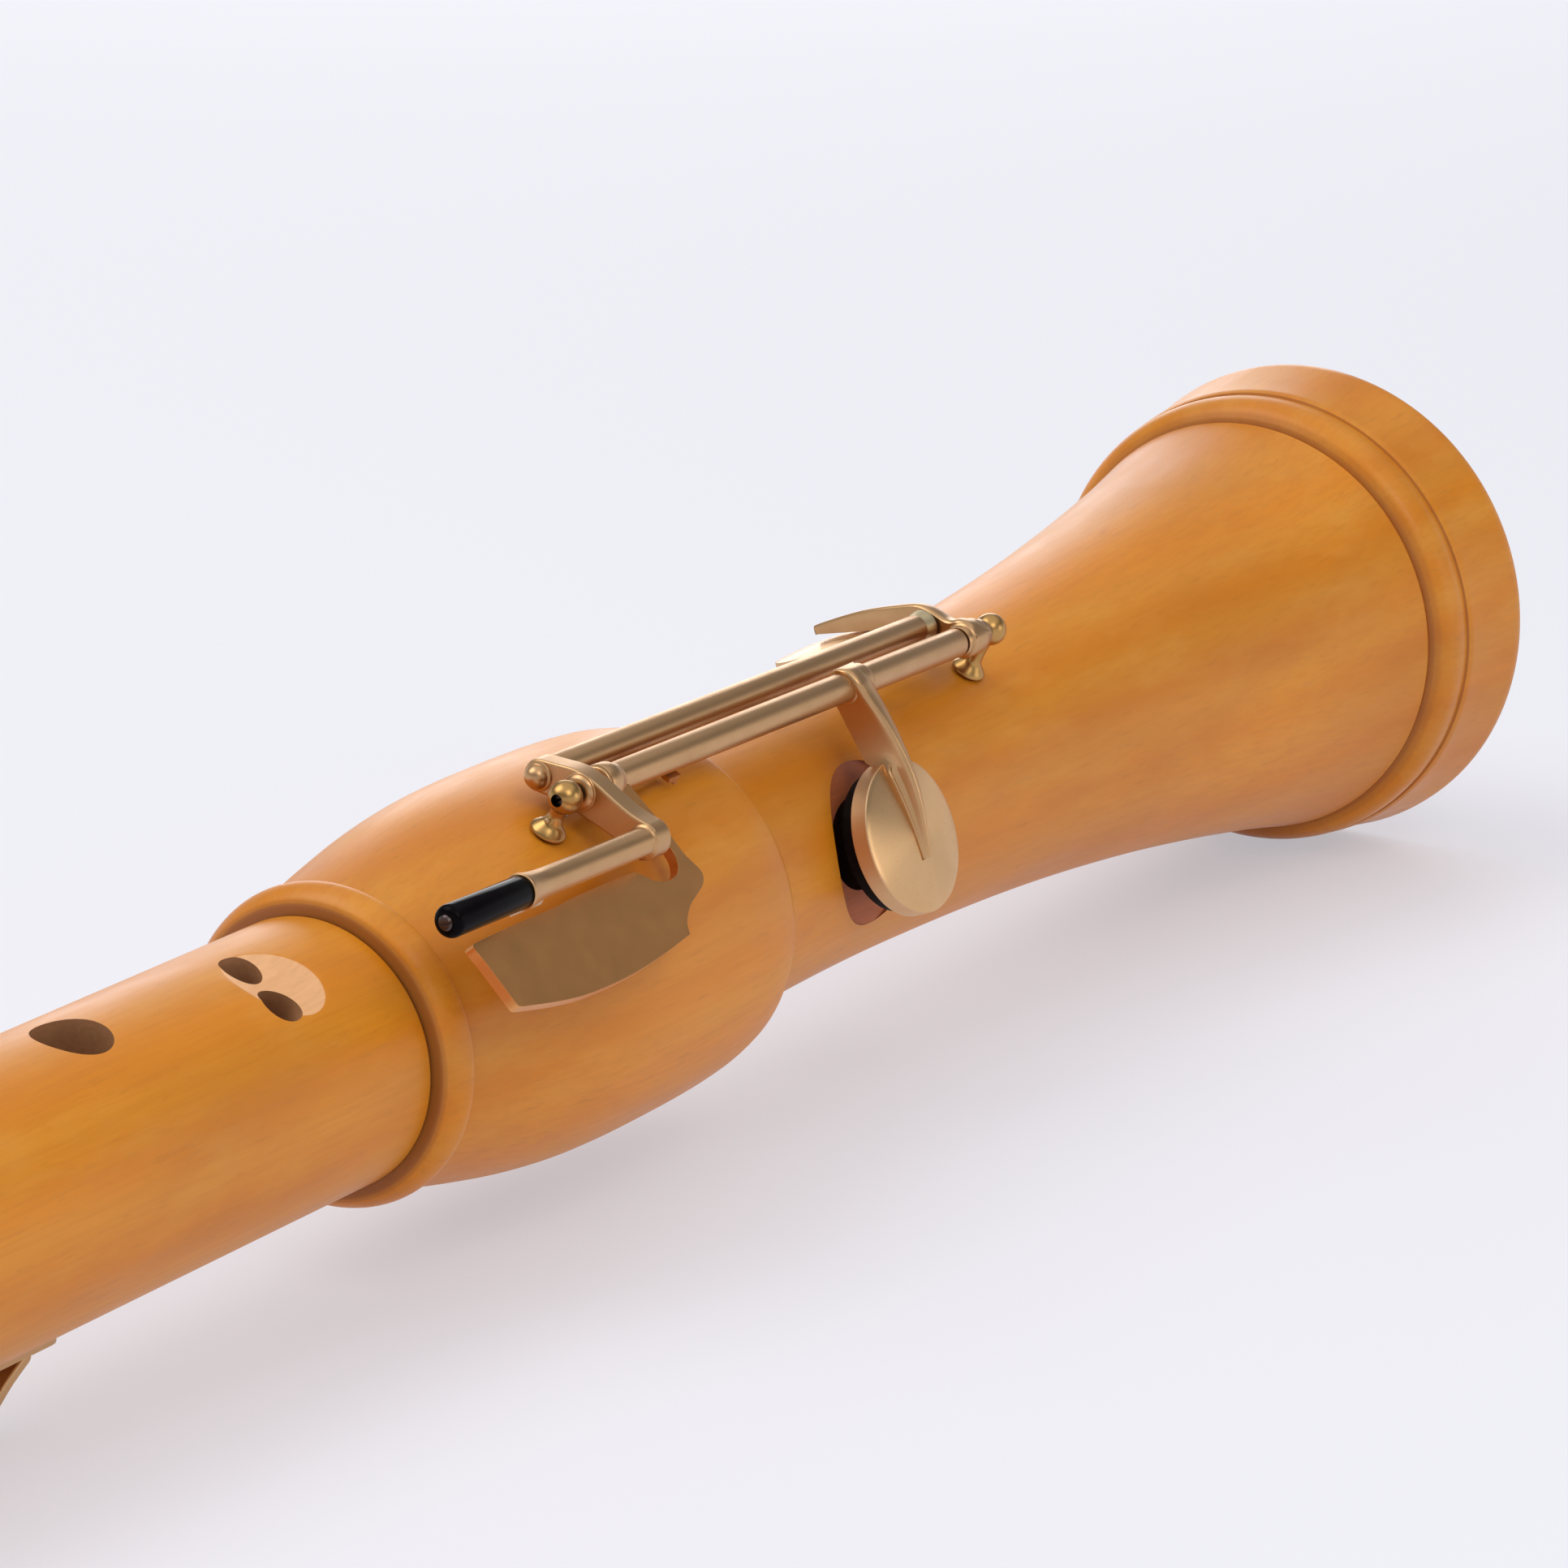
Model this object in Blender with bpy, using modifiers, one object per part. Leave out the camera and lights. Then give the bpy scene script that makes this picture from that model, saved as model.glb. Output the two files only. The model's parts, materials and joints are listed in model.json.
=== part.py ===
"""Tenor recorder in three joints, with a two-key foot.

The bore lies along X with the bell at +X, and the instrument rests on its side
on the bell rim and on the bulge of the head joint. Stations are millimetres
along the bore, counted from the face of the foot joint's socket.
"""
import bpy
import bmesh
from math import atan2, cos, degrees, pi, radians, sin, sqrt
from mathutils import Matrix, Vector

MM = 0.001
GAP = 0.3
ROUND_STEPS = 32
SHARP_ANGLE = radians(32)

# Joint lengths and diameters, in millimetres
HEAD_TOP = -447.0
HEAD_JOINT_LINE = -240.0
UPPER_TENON = 22.0
LOWER_TENON = 26.0
BELL_END = 247.2
RIM_STATION = 245.0
RIM_RADIUS = 34.0
HEAD_BULGE_STATION = HEAD_JOINT_LINE - 43.0
HEAD_BULGE_RADIUS = 23.6
MIDDLE_RADIUS_UPPER = 17.3
MIDDLE_RADIUS_LOWER = 16.5
UPPER_SOCKET_RADIUS = 14.8
LOWER_SOCKET_RADIUS = 14.4
CORK_THICKNESS = 1.2

# Bore radii
HEAD_BORE = 12.0
MIDDLE_BORE_TOP = 11.2
MIDDLE_BORE_BOTTOM = 8.4
FOOT_BORE_TOP = 8.3
FOOT_BORE_BOTTOM = 7.8
BELL_HOLLOW_START = 200.0
BELL_HOLLOW_RADIUS = 21.0

# Windway, window and beak
WINDWAY_END = HEAD_TOP + 69.0
LABIUM_EDGE = WINDWAY_END + 5.5
RAMP_END = WINDWAY_END + 33.0
WINDWAY_WIDTH = 14.5
WINDWAY_ROOF = 12.5
WINDWAY_FLOOR = 10.9
BEAK_CUT_END = HEAD_TOP + 58.0
BEAK_TIP_HEIGHT = 3.0

# Finger holes: station, angle from the top towards the keys, diameter
FINGER_HOLES = {
    "hole_1": (-187.0, 11.0, 7.2),
    "hole_2": (-154.5, 11.0, 8.4),
    "hole_3": (-122.0, 14.0, 6.4),
    "hole_4": (-80.5, 6.0, 8.2),
    "hole_5": (-49.1, 8.3, 9.4),
    "hole_6_large": (-20.0, 36.4, 5.6),
    "hole_6_small": (-18.9, 11.9, 5.2),
}
THUMB_HOLE = (-207.0, 185.0, 7.6)
DISH_STATION = -17.5
DISH_ANGLE = 25.5
DISH_DEPTH = 1.1
DISH_CUT_RADIUS = 14.4

# Hinge line of the keys: angle from the top towards the keys, ends and slope
HINGE_ANGLE = 29.0
FRONT_POST_STATION = 31.9
REAR_POST_STATION = 134.0
FRONT_HINGE_RADIUS = 28.6
REAR_HINGE_RADIUS = 25.3
FRONT_POST_SURFACE = 23.1
REAR_POST_SURFACE = 18.25
POST_SHANK_RADIUS = 1.5
BALL_RADIUS = 2.1
HINGE_ROD_RADIUS = 1.0
HINGE_TUBE_RADIUS = 1.9
BUSH_RADIUS = HINGE_ROD_RADIUS + GAP

# Pads: station, angle, seat radius, cup radius
NEAR_PAD = (98.3, 79.2, 10.4, 9.9)
FAR_PAD = (128.4, -20.0, 9.8, 9.0)
NECK_RADIUS_NEAR = 17.5
NECK_RADIUS_FAR = 18.0
CUP_HEIGHT = 2.5
CUP_DOME = 0.9
CUP_WALL = 0.7
PAD_DROP = 2.3
NEAR_TONE_HOLE = 6.0
FAR_TONE_HOLE = 5.6
PLATE_KEY_OPENING = radians(9.5)

# Arms, along the hinge from the front post: middle and width of the blade, start and end of its ring
NEAR_ARM = (66.4, 4.4, 64.2, 68.8)
FAR_ARM = (96.6, 3.6, 93.5, 98.4)
FAR_HUB_END = 99.6
ARM_RING_RADIUS = 2.55

# Arm profiles in the frame of the pad: height of the crest, then reach, underside and top of the tip
NEAR_PROFILE = (2.7, 2.9, 1.2, 1.75)
FAR_PROFILE = (3.4, 2.6, 1.8, 3.0)

# Touch plate: tilt of its plane, thickness, and the collar that holds it
PLATE_TILT = radians(22)
PLATE_RISE = 1.2
PLATE_THICKNESS = 1.3
PLATE_COLLAR = (6.6, 10.8)
PLATE_COLLAR_RADIUS = 2.75
HINGE_TUBE_SPAN = (7.0, 93.1)

# Roller key lever and bridge
LEVER_FRONT = 2.9
LEVER_THICKNESS = 3.1
LEVER_HALF_WIDTH = 2.15
BRIDGE_Y = 5.5
BRIDGE_Z = -1.75
BRIDGE_RADIUS = 1.85
BRIDGE_END = 94.0
CAP_RADIUS = 1.5
ROLLER_LINE_Y = -10.3
ROLLER_LINE_Z = 0.5
CARRIER_RADIUS = 1.75
CARRIER_END = -24.1
ROLLER_RADIUS = 2.0
ROLLER_LENGTH = 15.2
ROLLER_SCREW_RADIUS = 0.7
FIN_DROP = 3.3
FIN_THICKNESS = 1.6
FIN_SHIFT = 0.6
BUMPER_SIZE = (6.6, 0.9, 0.7)
BUMPER_PLACE = (-19.6, -9.8)

# Springs and the hooks that they press on, in the frame of the hinge
PLATE_HOOK_X = 23.9
ROLLER_HOOK_X = 80.0
PLATE_SPRING = ((2.6, 0.2, -3.5), (24.9, 0.7, -3.5))
ROLLER_SPRING = ((99.4, 0.4, -3.2), (79.2, 4.6, -6.3))

# Thumb rest on the back of the middle joint
THUMB_REST_STATION = -66.0
THUMB_REST_ANGLE = 188.0
THUMB_REST_LENGTH = 26.0
THUMB_REST_SCREW_OFFSET = 9.5

COLOURS = {
    "wood": ((0.62, 0.32, 0.07), 0.38, 0.0),
    "raw_wood": ((0.70, 0.47, 0.30), 0.7, 0.0),
    "cork": ((0.60, 0.42, 0.25), 0.85, 0.0),
    "brass": ((0.62, 0.43, 0.22), 0.34, 1.0),
    "steel": ((0.45, 0.44, 0.42), 0.3, 1.0),
    "black": ((0.01, 0.01, 0.011), 0.18, 0.0),
    "pad": ((0.03, 0.022, 0.018), 0.7, 0.0),
    "felt": ((0.78, 0.66, 0.50), 0.8, 0.0),
}


def clear_scene():
    for obj in list(bpy.data.objects):
        bpy.data.objects.remove(obj, do_unlink=True)


def new_collection(name):
    collection = bpy.data.collections.new(name)
    bpy.context.scene.collection.children.link(collection)
    return collection


def make_material(name):
    colour, roughness, metallic = COLOURS[name]
    material = bpy.data.materials.new(name)
    material.use_nodes = True
    shader = material.node_tree.nodes["Principled BSDF"]
    shader.inputs["Base Color"].default_value = (*colour, 1.0)
    shader.inputs["Roughness"].default_value = roughness
    shader.inputs["Metallic"].default_value = metallic
    return material


def place(obj, parent, location=(0, 0, 0), turn=(0, 0, 0)):
    """Parent an object and give its place in millimetres and its turn in radians."""
    obj.parent = parent
    obj.location = Vector(location) * MM
    obj.rotation_euler = turn


def add_empty(name, parent=None, location=(0, 0, 0), turn=(0, 0, 0)):
    empty = bpy.data.objects.new(name, None)
    empty.empty_display_size = 0.01
    PARTS.objects.link(empty)
    place(empty, parent, location, turn)
    return empty


def finish(obj, material, smooth=True):
    """Turn an object's modifiers into its mesh and give it its material."""
    bpy.context.view_layer.update()
    evaluated = obj.evaluated_get(bpy.context.evaluated_depsgraph_get())
    mesh = bpy.data.meshes.new_from_object(evaluated)
    mesh.name = obj.name
    obj.modifiers.clear()
    obj.data = mesh
    mesh.materials.clear()
    if material:
        mesh.materials.append(material)
    if smooth:
        mesh.shade_smooth()
        mesh.set_sharp_from_angle(angle=SHARP_ANGLE)
    return obj


def link_cutter(obj):
    CUTTERS.objects.link(obj)
    obj.hide_render = True
    obj.display_type = "WIRE"


def boolean(obj, other, operation):
    modifier = obj.modifiers.new(operation.title() + " " + other.name, "BOOLEAN")
    modifier.operation = operation
    modifier.solver = "EXACT"
    modifier.object = other


def turned(name, outline, material, parent, location=(0, 0, 0), turn=(0, 0, 0),
           closed=False, steps=ROUND_STEPS, cutter=False):
    """Turn an outline of (radius, height) pairs, outer side top to bottom, round local Z."""
    start = pi / steps
    mesh = bpy.data.meshes.new(name)
    points = [(r * MM * cos(start), r * MM * sin(start), h * MM) for r, h in outline]
    edges = [(i, i + 1) for i in range(len(points) - 1)]
    if closed:
        edges.append((len(points) - 1, 0))
    mesh.from_pydata(points, edges, [])
    obj = bpy.data.objects.new(name, mesh)
    if cutter:
        link_cutter(obj)
    else:
        PARTS.objects.link(obj)
    place(obj, parent, location, turn)
    screw = obj.modifiers.new("Turned", "SCREW")
    screw.axis = "Z"
    screw.steps = steps
    screw.render_steps = steps
    screw.use_merge_vertices = True
    screw.merge_threshold = 0.00001
    return finish(obj, material)


def rod(name, radius, start, end, material, parent, location=(0, 0, 0), turn=(0, 0, 0),
        inner=0.0, edge=0.0, steps=24, cutter=False):
    """A straight rod or tube along local Z from start to end, its outer edges eased."""
    if edge:
        outer = [(radius - edge, end), (radius, end - edge), (radius, start + edge), (radius - edge, start)]
    else:
        outer = [(radius, end), (radius, start)]
    if inner:
        outline = outer + [(inner, start), (inner, end)]
    else:
        outline = [(0.0, end)] + outer + [(0.0, start)]
    return turned(name, outline, material, parent, location, turn, bool(inner), steps, cutter)


def prism(name, outline, thickness, material, parent, location=(0, 0, 0), turn=(0, 0, 0),
          edge=0.0, edge_segments=2, cutter=False):
    """A flat outline in local XY with half its thickness each side, its edges rounded."""
    curve = bpy.data.curves.new(name, "CURVE")
    curve.dimensions = "2D"
    curve.fill_mode = "BOTH"
    curve.extrude = thickness / 2 * MM
    spline = curve.splines.new("POLY")
    spline.points.add(len(outline) - 1)
    for point, (x, y) in zip(spline.points, outline):
        point.co = (x * MM, y * MM, 0.0, 1.0)
    spline.use_cyclic_u = True
    flat = bpy.data.objects.new(name + "_outline", curve)
    PARTS.objects.link(flat)
    bpy.context.view_layer.update()
    mesh = bpy.data.meshes.new_from_object(flat.evaluated_get(bpy.context.evaluated_depsgraph_get()))
    bpy.data.objects.remove(flat)
    mesh.name = name
    shape = bmesh.new()
    shape.from_mesh(mesh)
    bmesh.ops.remove_doubles(shape, verts=shape.verts, dist=0.000001)
    bmesh.ops.dissolve_limit(shape, angle_limit=radians(1), verts=shape.verts, edges=shape.edges)
    bmesh.ops.recalc_face_normals(shape, faces=shape.faces)
    shape.to_mesh(mesh)
    shape.free()
    obj = bpy.data.objects.new(name, mesh)
    if cutter:
        link_cutter(obj)
    else:
        PARTS.objects.link(obj)
    place(obj, parent, location, turn)
    if edge:
        bevel = obj.modifiers.new("Rounded edges", "BEVEL")
        bevel.width = edge * MM
        bevel.segments = edge_segments
        bevel.limit_method = "ANGLE"
        bevel.angle_limit = radians(50)
    return finish(obj, material)


def box(name, size, material, parent, location=(0, 0, 0), turn=(0, 0, 0), edge=0.0, cutter=False):
    mesh = bpy.data.meshes.new(name)
    shape = bmesh.new()
    bmesh.ops.create_cube(shape, size=1.0, matrix=Matrix.Diagonal((*(Vector(size) * MM), 1.0)))
    shape.to_mesh(mesh)
    shape.free()
    obj = bpy.data.objects.new(name, mesh)
    if cutter:
        link_cutter(obj)
    else:
        PARTS.objects.link(obj)
    place(obj, parent, location, turn)
    if edge:
        bevel = obj.modifiers.new("Rounded edges", "BEVEL")
        bevel.width = edge * MM
        bevel.segments = 2
    return finish(obj, material, smooth=bool(edge))


def arc(centre, radius, start, end, steps):
    """Points on an arc between two angles in degrees, ends included."""
    points = []
    for i in range(steps + 1):
        angle = radians(start + (end - start) * i / steps)
        points.append((centre[0] + radius * cos(angle), centre[1] + radius * sin(angle)))
    return points


def smooth_curve(points, steps=4):
    """A smooth curve through the given points, which end the curve at both ends."""
    curve = []
    for i in range(len(points) - 1):
        before = Vector(points[max(i - 1, 0)])
        here = Vector(points[i])
        after = Vector(points[i + 1])
        beyond = Vector(points[min(i + 2, len(points) - 1)])
        for k in range(steps):
            t = k / steps
            slope_in = (after - before) / 2
            slope_out = (beyond - here) / 2
            value = ((2 * t ** 3 - 3 * t ** 2 + 1) * here + (t ** 3 - 2 * t ** 2 + t) * slope_in
                     + (3 * t ** 2 - 2 * t ** 3) * after + (t ** 3 - t ** 2) * slope_out)
            curve.append(tuple(value))
    curve.append(tuple(points[-1]))
    return curve


def band_outline(path, half_width, end_steps=6):
    """The outline of a bar with round ends that follows a path of a few points."""
    left = []
    right = []
    points = [Vector(p) for p in path]
    for i, point in enumerate(points):
        ahead = points[min(i + 1, len(points) - 1)] - points[max(i - 1, 0)]
        side = Vector((-ahead.y, ahead.x)).normalized() * half_width
        left.append(tuple(point + side))
        right.append(tuple(point - side))
    ends = []
    for point, inner in ((points[-1], points[-2]), (points[0], points[1])):
        out = degrees(atan2(point.y - inner.y, point.x - inner.x))
        ends.append(arc(point, half_width, out + 90, out - 90, end_steps)[1:-1])
    return left + ends[0] + right[::-1] + ends[1]


def taper(obj, axis, start, end, start_scale, end_scale):
    """Narrow a blade's thickness, which is its local Z, along its local X or Y."""
    for vertex in obj.data.vertices:
        share = (vertex.co[axis] / MM - start) / (end - start)
        share = min(max(share, 0.0), 1.0)
        vertex.co.z *= start_scale + (end_scale - start_scale) * share


ALONG_BORE = (0, pi / 2, 0)


def station_outline(points):
    """Change (station, radius) pairs into (radius, height) pairs that run from the far end back."""
    return [(radius, station) for station, radius in reversed(points)]


def joint_body(name, outer, inner, parent):
    """A turned wooden joint from its outer and inner (station, radius) outlines."""
    outline = station_outline(outer) + [(radius, station) for station, radius in inner]
    return turned(name, outline, WOOD, parent, turn=ALONG_BORE, closed=True)


def radial_drill(name, parent, station, angle, diameter, inner, outer, steps=16):
    """A round cutter that runs outwards from the bore axis."""
    tilt = radians(angle)
    mount = add_empty(name + "_line", parent, (station, 0, 0), (tilt, 0, 0))
    return rod(name, diameter / 2, inner, outer, None, mount, steps=steps, cutter=True)


def foot_outline():
    """Socket bead, egg-shaped barrel, neck, flare and bell of the foot joint."""
    bead = arc((2.3, 17.5), 2.1, 180, 32, 4)
    barrel = [(4.4, 18.35), (9.5, 19.5), (17.0, 21.0), (26.0, 22.5), (37.0, 23.5), (52.0, 23.6), (62.5, 23.2),
              (70.2, 21.9)]
    shoulder = [(71.0, 20.9), (71.8, 19.1)]
    neck = [(73.5, 18.4), (80.0, 17.85), (95.0, 17.52), (113.0, 17.6), (130.0, 18.1), (147.0, 18.9),
            (163.0, 20.1), (179.0, 21.75), (195.0, 23.8), (211.0, 26.3), (226.2, 29.3)]
    bell_bead = [(226.7, 28.9)] + arc((230.9, 29.3), 3.2, 172, 62, 3)
    rim = [(232.9, 32.25), (238.5, 32.8), (RIM_STATION, RIM_RADIUS)]
    rim_edge = [(246.2, 33.75), (BELL_END, 32.9)]
    return [(0.0, LOWER_SOCKET_RADIUS + 0.4)] + bead + barrel + shoulder + neck + bell_bead + rim + rim_edge


def foot_bore():
    """Socket, bore and bell hollow, from the socket to the bell."""
    socket = [(0.4, LOWER_SOCKET_RADIUS), (LOWER_TENON + 0.6, LOWER_SOCKET_RADIUS),
              (LOWER_TENON + 0.6, FOOT_BORE_TOP)]
    hollow = [(BELL_HOLLOW_START, FOOT_BORE_BOTTOM), (216.0, 9.2), (229.0, 11.8), (239.0, 15.6),
              (BELL_END - 0.6, BELL_HOLLOW_RADIUS)]
    return socket + hollow + [(BELL_END, BELL_HOLLOW_RADIUS + 0.6)]


def head_outline():
    """The head joint from its top end to the joint line, with a bulge like the foot's barrel."""
    body = [(HEAD_TOP + 1.2, 19.0), (HEAD_TOP + 30, 19.4), (HEAD_TOP + 70, 19.3), (HEAD_TOP + 127, 18.3)]
    shoulder = [(HEAD_TOP + 130.2, 19.3), (HEAD_TOP + 130.8, 20.9), (HEAD_TOP + 131.6, 21.7)]
    line = HEAD_JOINT_LINE
    bulge = [(line - 70.0, 22.7), (line - 61.0, 23.4), (HEAD_BULGE_STATION - 7, HEAD_BULGE_RADIUS),
             (HEAD_BULGE_STATION + 7, HEAD_BULGE_RADIUS), (line - 26.0, 22.7), (line - 15.0, 20.9),
             (line - 5.2, 18.95)]
    bead = arc((line - 2.4, 18.1), 2.1, 148, 0, 4)
    return [(HEAD_TOP, 17.8)] + body + shoulder + bulge + bead + [(line, UPPER_SOCKET_RADIUS + 0.4)]


def middle_outline():
    top = HEAD_JOINT_LINE - UPPER_TENON
    upper_cork = (top + 5.0, HEAD_JOINT_LINE - 5.0)
    lower_cork = (6.0, LOWER_TENON - 6.0)
    upper = UPPER_SOCKET_RADIUS - 2 * GAP
    lower = LOWER_SOCKET_RADIUS - 2 * GAP
    recess = CORK_THICKNESS + GAP
    return [
        (top, upper - 0.6), (top + 0.6, upper),
        (upper_cork[0], upper), (upper_cork[0], upper - recess),
        (upper_cork[1], upper - recess), (upper_cork[1], upper),
        (HEAD_JOINT_LINE + GAP, upper), (HEAD_JOINT_LINE + GAP, MIDDLE_RADIUS_UPPER - 0.5),
        (HEAD_JOINT_LINE + GAP + 0.5, MIDDLE_RADIUS_UPPER), (-180.0, 16.8), (-90.0, 16.5),
        (-GAP - 0.3, MIDDLE_RADIUS_LOWER), (-GAP, MIDDLE_RADIUS_LOWER - 0.3), (-GAP, lower),
        (lower_cork[0], lower), (lower_cork[0], lower - recess),
        (lower_cork[1], lower - recess), (lower_cork[1], lower),
        (LOWER_TENON - 0.6, lower), (LOWER_TENON, lower - 0.6),
    ], upper_cork, lower_cork


def make_head(instrument):
    """Head joint with windway, window and beak, and the block that fills its bore."""
    head = joint_body("head_joint", head_outline(),
                      [(HEAD_TOP, HEAD_BORE), (HEAD_JOINT_LINE - UPPER_TENON - 0.6, HEAD_BORE - 0.3),
                       (HEAD_JOINT_LINE - UPPER_TENON - 0.6, UPPER_SOCKET_RADIUS),
                       (HEAD_JOINT_LINE - 0.4, UPPER_SOCKET_RADIUS)], instrument)
    window_length = RAMP_END - WINDWAY_END
    windway = rod("windway_cut", WINDWAY_ROOF, HEAD_TOP - 2, LABIUM_EDGE - 0.5, None, instrument,
                  turn=ALONG_BORE, steps=ROUND_STEPS, cutter=True)
    windway_sides = box("windway_sides", (window_length + 90, WINDWAY_WIDTH, 30), None, instrument,
                        (HEAD_TOP + 30, 0, 20), cutter=True)
    boolean(windway, windway_sides, "INTERSECT")
    ramp = turned("window_cut", station_outline([
        (WINDWAY_END, 9.0), (WINDWAY_END, 26.0), (RAMP_END, 26.0), (RAMP_END, 19.6),
        (LABIUM_EDGE, HEAD_BORE + 0.5), (LABIUM_EDGE, 9.0)]), None, instrument,
        turn=ALONG_BORE, closed=True, cutter=True)
    window_sides = box("window_sides", (window_length + 20, WINDWAY_WIDTH, 30), None, instrument,
                       ((WINDWAY_END + RAMP_END) / 2, 0, 20), cutter=True)
    boolean(ramp, window_sides, "INTERSECT")
    under_cut = [(BEAK_CUT_END, -22.0), (HEAD_TOP - 4, -22.0), (HEAD_TOP - 4, BEAK_TIP_HEIGHT + 0.4)]
    under_cut += smooth_curve([(HEAD_TOP, BEAK_TIP_HEIGHT), (HEAD_TOP + 14, -0.8), (HEAD_TOP + 30, -6.6),
                               (HEAD_TOP + 46, -13.6), (BEAK_CUT_END, -21.9)], 4)
    beak = prism("beak_cut", under_cut, 60, None, instrument, turn=(pi / 2, 0, 0), cutter=True)
    lip = prism("lip_cut", [(HEAD_TOP - 4, 24.0), (HEAD_TOP - 4, 15.2), (HEAD_TOP, 15.6),
                            (HEAD_TOP + 12, 17.6), (HEAD_TOP + 30, 20.6), (HEAD_TOP + 30, 24.0)],
                60, None, instrument, turn=(pi / 2, 0, 0), cutter=True)
    for cutter in (windway, ramp, beak, lip):
        boolean(head, cutter, "DIFFERENCE")
    finish(head, WOOD)

    block = turned("windway_block", [(0, WINDWAY_END - 0.1), (HEAD_BORE - GAP, WINDWAY_END - 0.1),
                                     (HEAD_BORE - GAP, HEAD_TOP), (0, HEAD_TOP)],
                   RAW_WOOD, instrument, turn=ALONG_BORE)
    middle = (HEAD_TOP + WINDWAY_END) / 2
    floor = turned("windway_floor_cut", [(HEAD_BORE + 2, 40.0), (HEAD_BORE + 2, -40.0),
                                         (WINDWAY_FLOOR, -40.0), (WINDWAY_FLOOR, 40.0)],
                   None, instrument, (middle, 0, 0), ALONG_BORE, closed=True, cutter=True)
    floor_sides = box("windway_floor_sides", (100, WINDWAY_WIDTH + 0.8, 30), None, instrument,
                      (middle, 0, 19), cutter=True)
    boolean(floor, floor_sides, "INTERSECT")
    boolean(block, floor, "DIFFERENCE")
    boolean(block, beak, "DIFFERENCE")
    finish(block, RAW_WOOD)


def make_middle(instrument):
    """Middle joint with its tenons, corks, finger holes and the dish round the double hole."""
    outer, upper_cork, lower_cork = middle_outline()
    bore = [(HEAD_JOINT_LINE - UPPER_TENON, MIDDLE_BORE_TOP), (LOWER_TENON, MIDDLE_BORE_BOTTOM)]
    middle = joint_body("middle_joint", outer, bore, instrument)
    dish_line = add_empty("dish_line", instrument, (DISH_STATION, 0, 0), (radians(DISH_ANGLE), 0, 0))
    dish = rod("dish_cut", DISH_CUT_RADIUS, -9.0, 9.0, None, dish_line,
               (0, 0, MIDDLE_RADIUS_LOWER - DISH_DEPTH + DISH_CUT_RADIUS), (pi / 2, 0, radians(8)),
               steps=28, cutter=True)
    boolean(middle, dish, "DIFFERENCE")
    for name, (station, angle, diameter) in FINGER_HOLES.items():
        boolean(middle, radial_drill(name, instrument, station, angle, diameter, 4, 22), "DIFFERENCE")
    station, angle, diameter = THUMB_HOLE
    boolean(middle, radial_drill("thumb_hole", instrument, station, angle, diameter, 4, 22), "DIFFERENCE")
    for name, (start, end), socket in (("upper_tenon_cork", upper_cork, UPPER_SOCKET_RADIUS),
                                       ("lower_tenon_cork", lower_cork, LOWER_SOCKET_RADIUS)):
        rod(name, socket - GAP, start + GAP, end - GAP, CORK, instrument, turn=ALONG_BORE,
            inner=socket - GAP - CORK_THICKNESS, edge=0.3, steps=ROUND_STEPS)
    return middle


def make_thumb_rest(instrument, middle):
    """Saddle with a curved hook on the back of the middle joint, held by two screws."""
    line = add_empty("thumb_rest_line", instrument, (THUMB_REST_STATION, 0, 0),
                     (radians(THUMB_REST_ANGLE), 0, 0))
    wood = MIDDLE_RADIUS_LOWER
    half = THUMB_REST_LENGTH / 2
    saddle = rod("thumb_rest", wood + GAP + 1.3, -half, half, None, line, turn=ALONG_BORE,
                 inner=wood + GAP, steps=ROUND_STEPS)
    corner = 3.0
    rounded = []
    for x, y, start in ((half - corner, 6.0 - corner, 0), (-half + corner, 6.0 - corner, 90),
                        (-half + corner, -6.0 + corner, 180), (half - corner, -6.0 + corner, 270)):
        rounded += arc((x, y), corner, start, start + 90, 4)
    blank = prism("saddle_blank", rounded, 10, None, line, (0, 0, wood), cutter=True)
    path = smooth_curve([(7.0, 17.4), (4.2, 19.6), (1.2, 22.6), (-3.4, 25.6)], 2)
    hook = prism("hook_blank", band_outline(path, 0.75, 4), 10.5, None, line, turn=(pi / 2, 0, 0),
                 cutter=True)
    boolean(saddle, blank, "INTERSECT")
    boolean(saddle, hook, "UNION")
    for name, offset in (("thumb_rest_screw_upper", -THUMB_REST_SCREW_OFFSET),
                         ("thumb_rest_screw_lower", THUMB_REST_SCREW_OFFSET)):
        drill = rod(name + "_drill", 1.1 + GAP, 11.0, 24.0, None, line, (offset, 0, 0), steps=16, cutter=True)
        boolean(saddle, drill, "DIFFERENCE")
        boolean(middle, drill, "DIFFERENCE")
        seat = wood + GAP + 1.3 + GAP
        dome = [(0, seat + 1.0), (0.9, seat + 0.85), (1.7, seat + 0.4), (2.0, seat)]
        turned(name, dome + [(1.1, seat), (1.1, 11.6), (0.0, 11.6)], STEEL, line, (offset, 0, 0), steps=12)
    finish(saddle, BRASS)
    finish(middle, WOOD)


def pad_frame(station, angle, neck_radius, seat_radius):
    """The frame of a pad: its origin at the cup's rim plane over the seat when the pad is closed."""
    flat = sqrt(neck_radius ** 2 - seat_radius ** 2)
    rise = flat + GAP + PAD_DROP + CUP_HEIGHT
    turn = Matrix.Rotation(radians(angle), 4, "X")
    return turn @ Matrix.Translation(Vector((0, 0, rise)) * MM), flat


def seat_cutters(name, instrument, station, angle, flat, seat_radius, hole_radius):
    """The spot face in the neck and the tone hole in its middle."""
    line = add_empty(name + "_line", instrument, (station, 0, 0), (radians(angle), 0, 0))
    seat = rod(name + "_seat_cut", seat_radius, flat, 26, None, line, steps=ROUND_STEPS, cutter=True)
    hole = rod(name + "_tone_hole", hole_radius, 4.0, flat + 2, None, line, steps=28, cutter=True)
    return seat, hole


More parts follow.
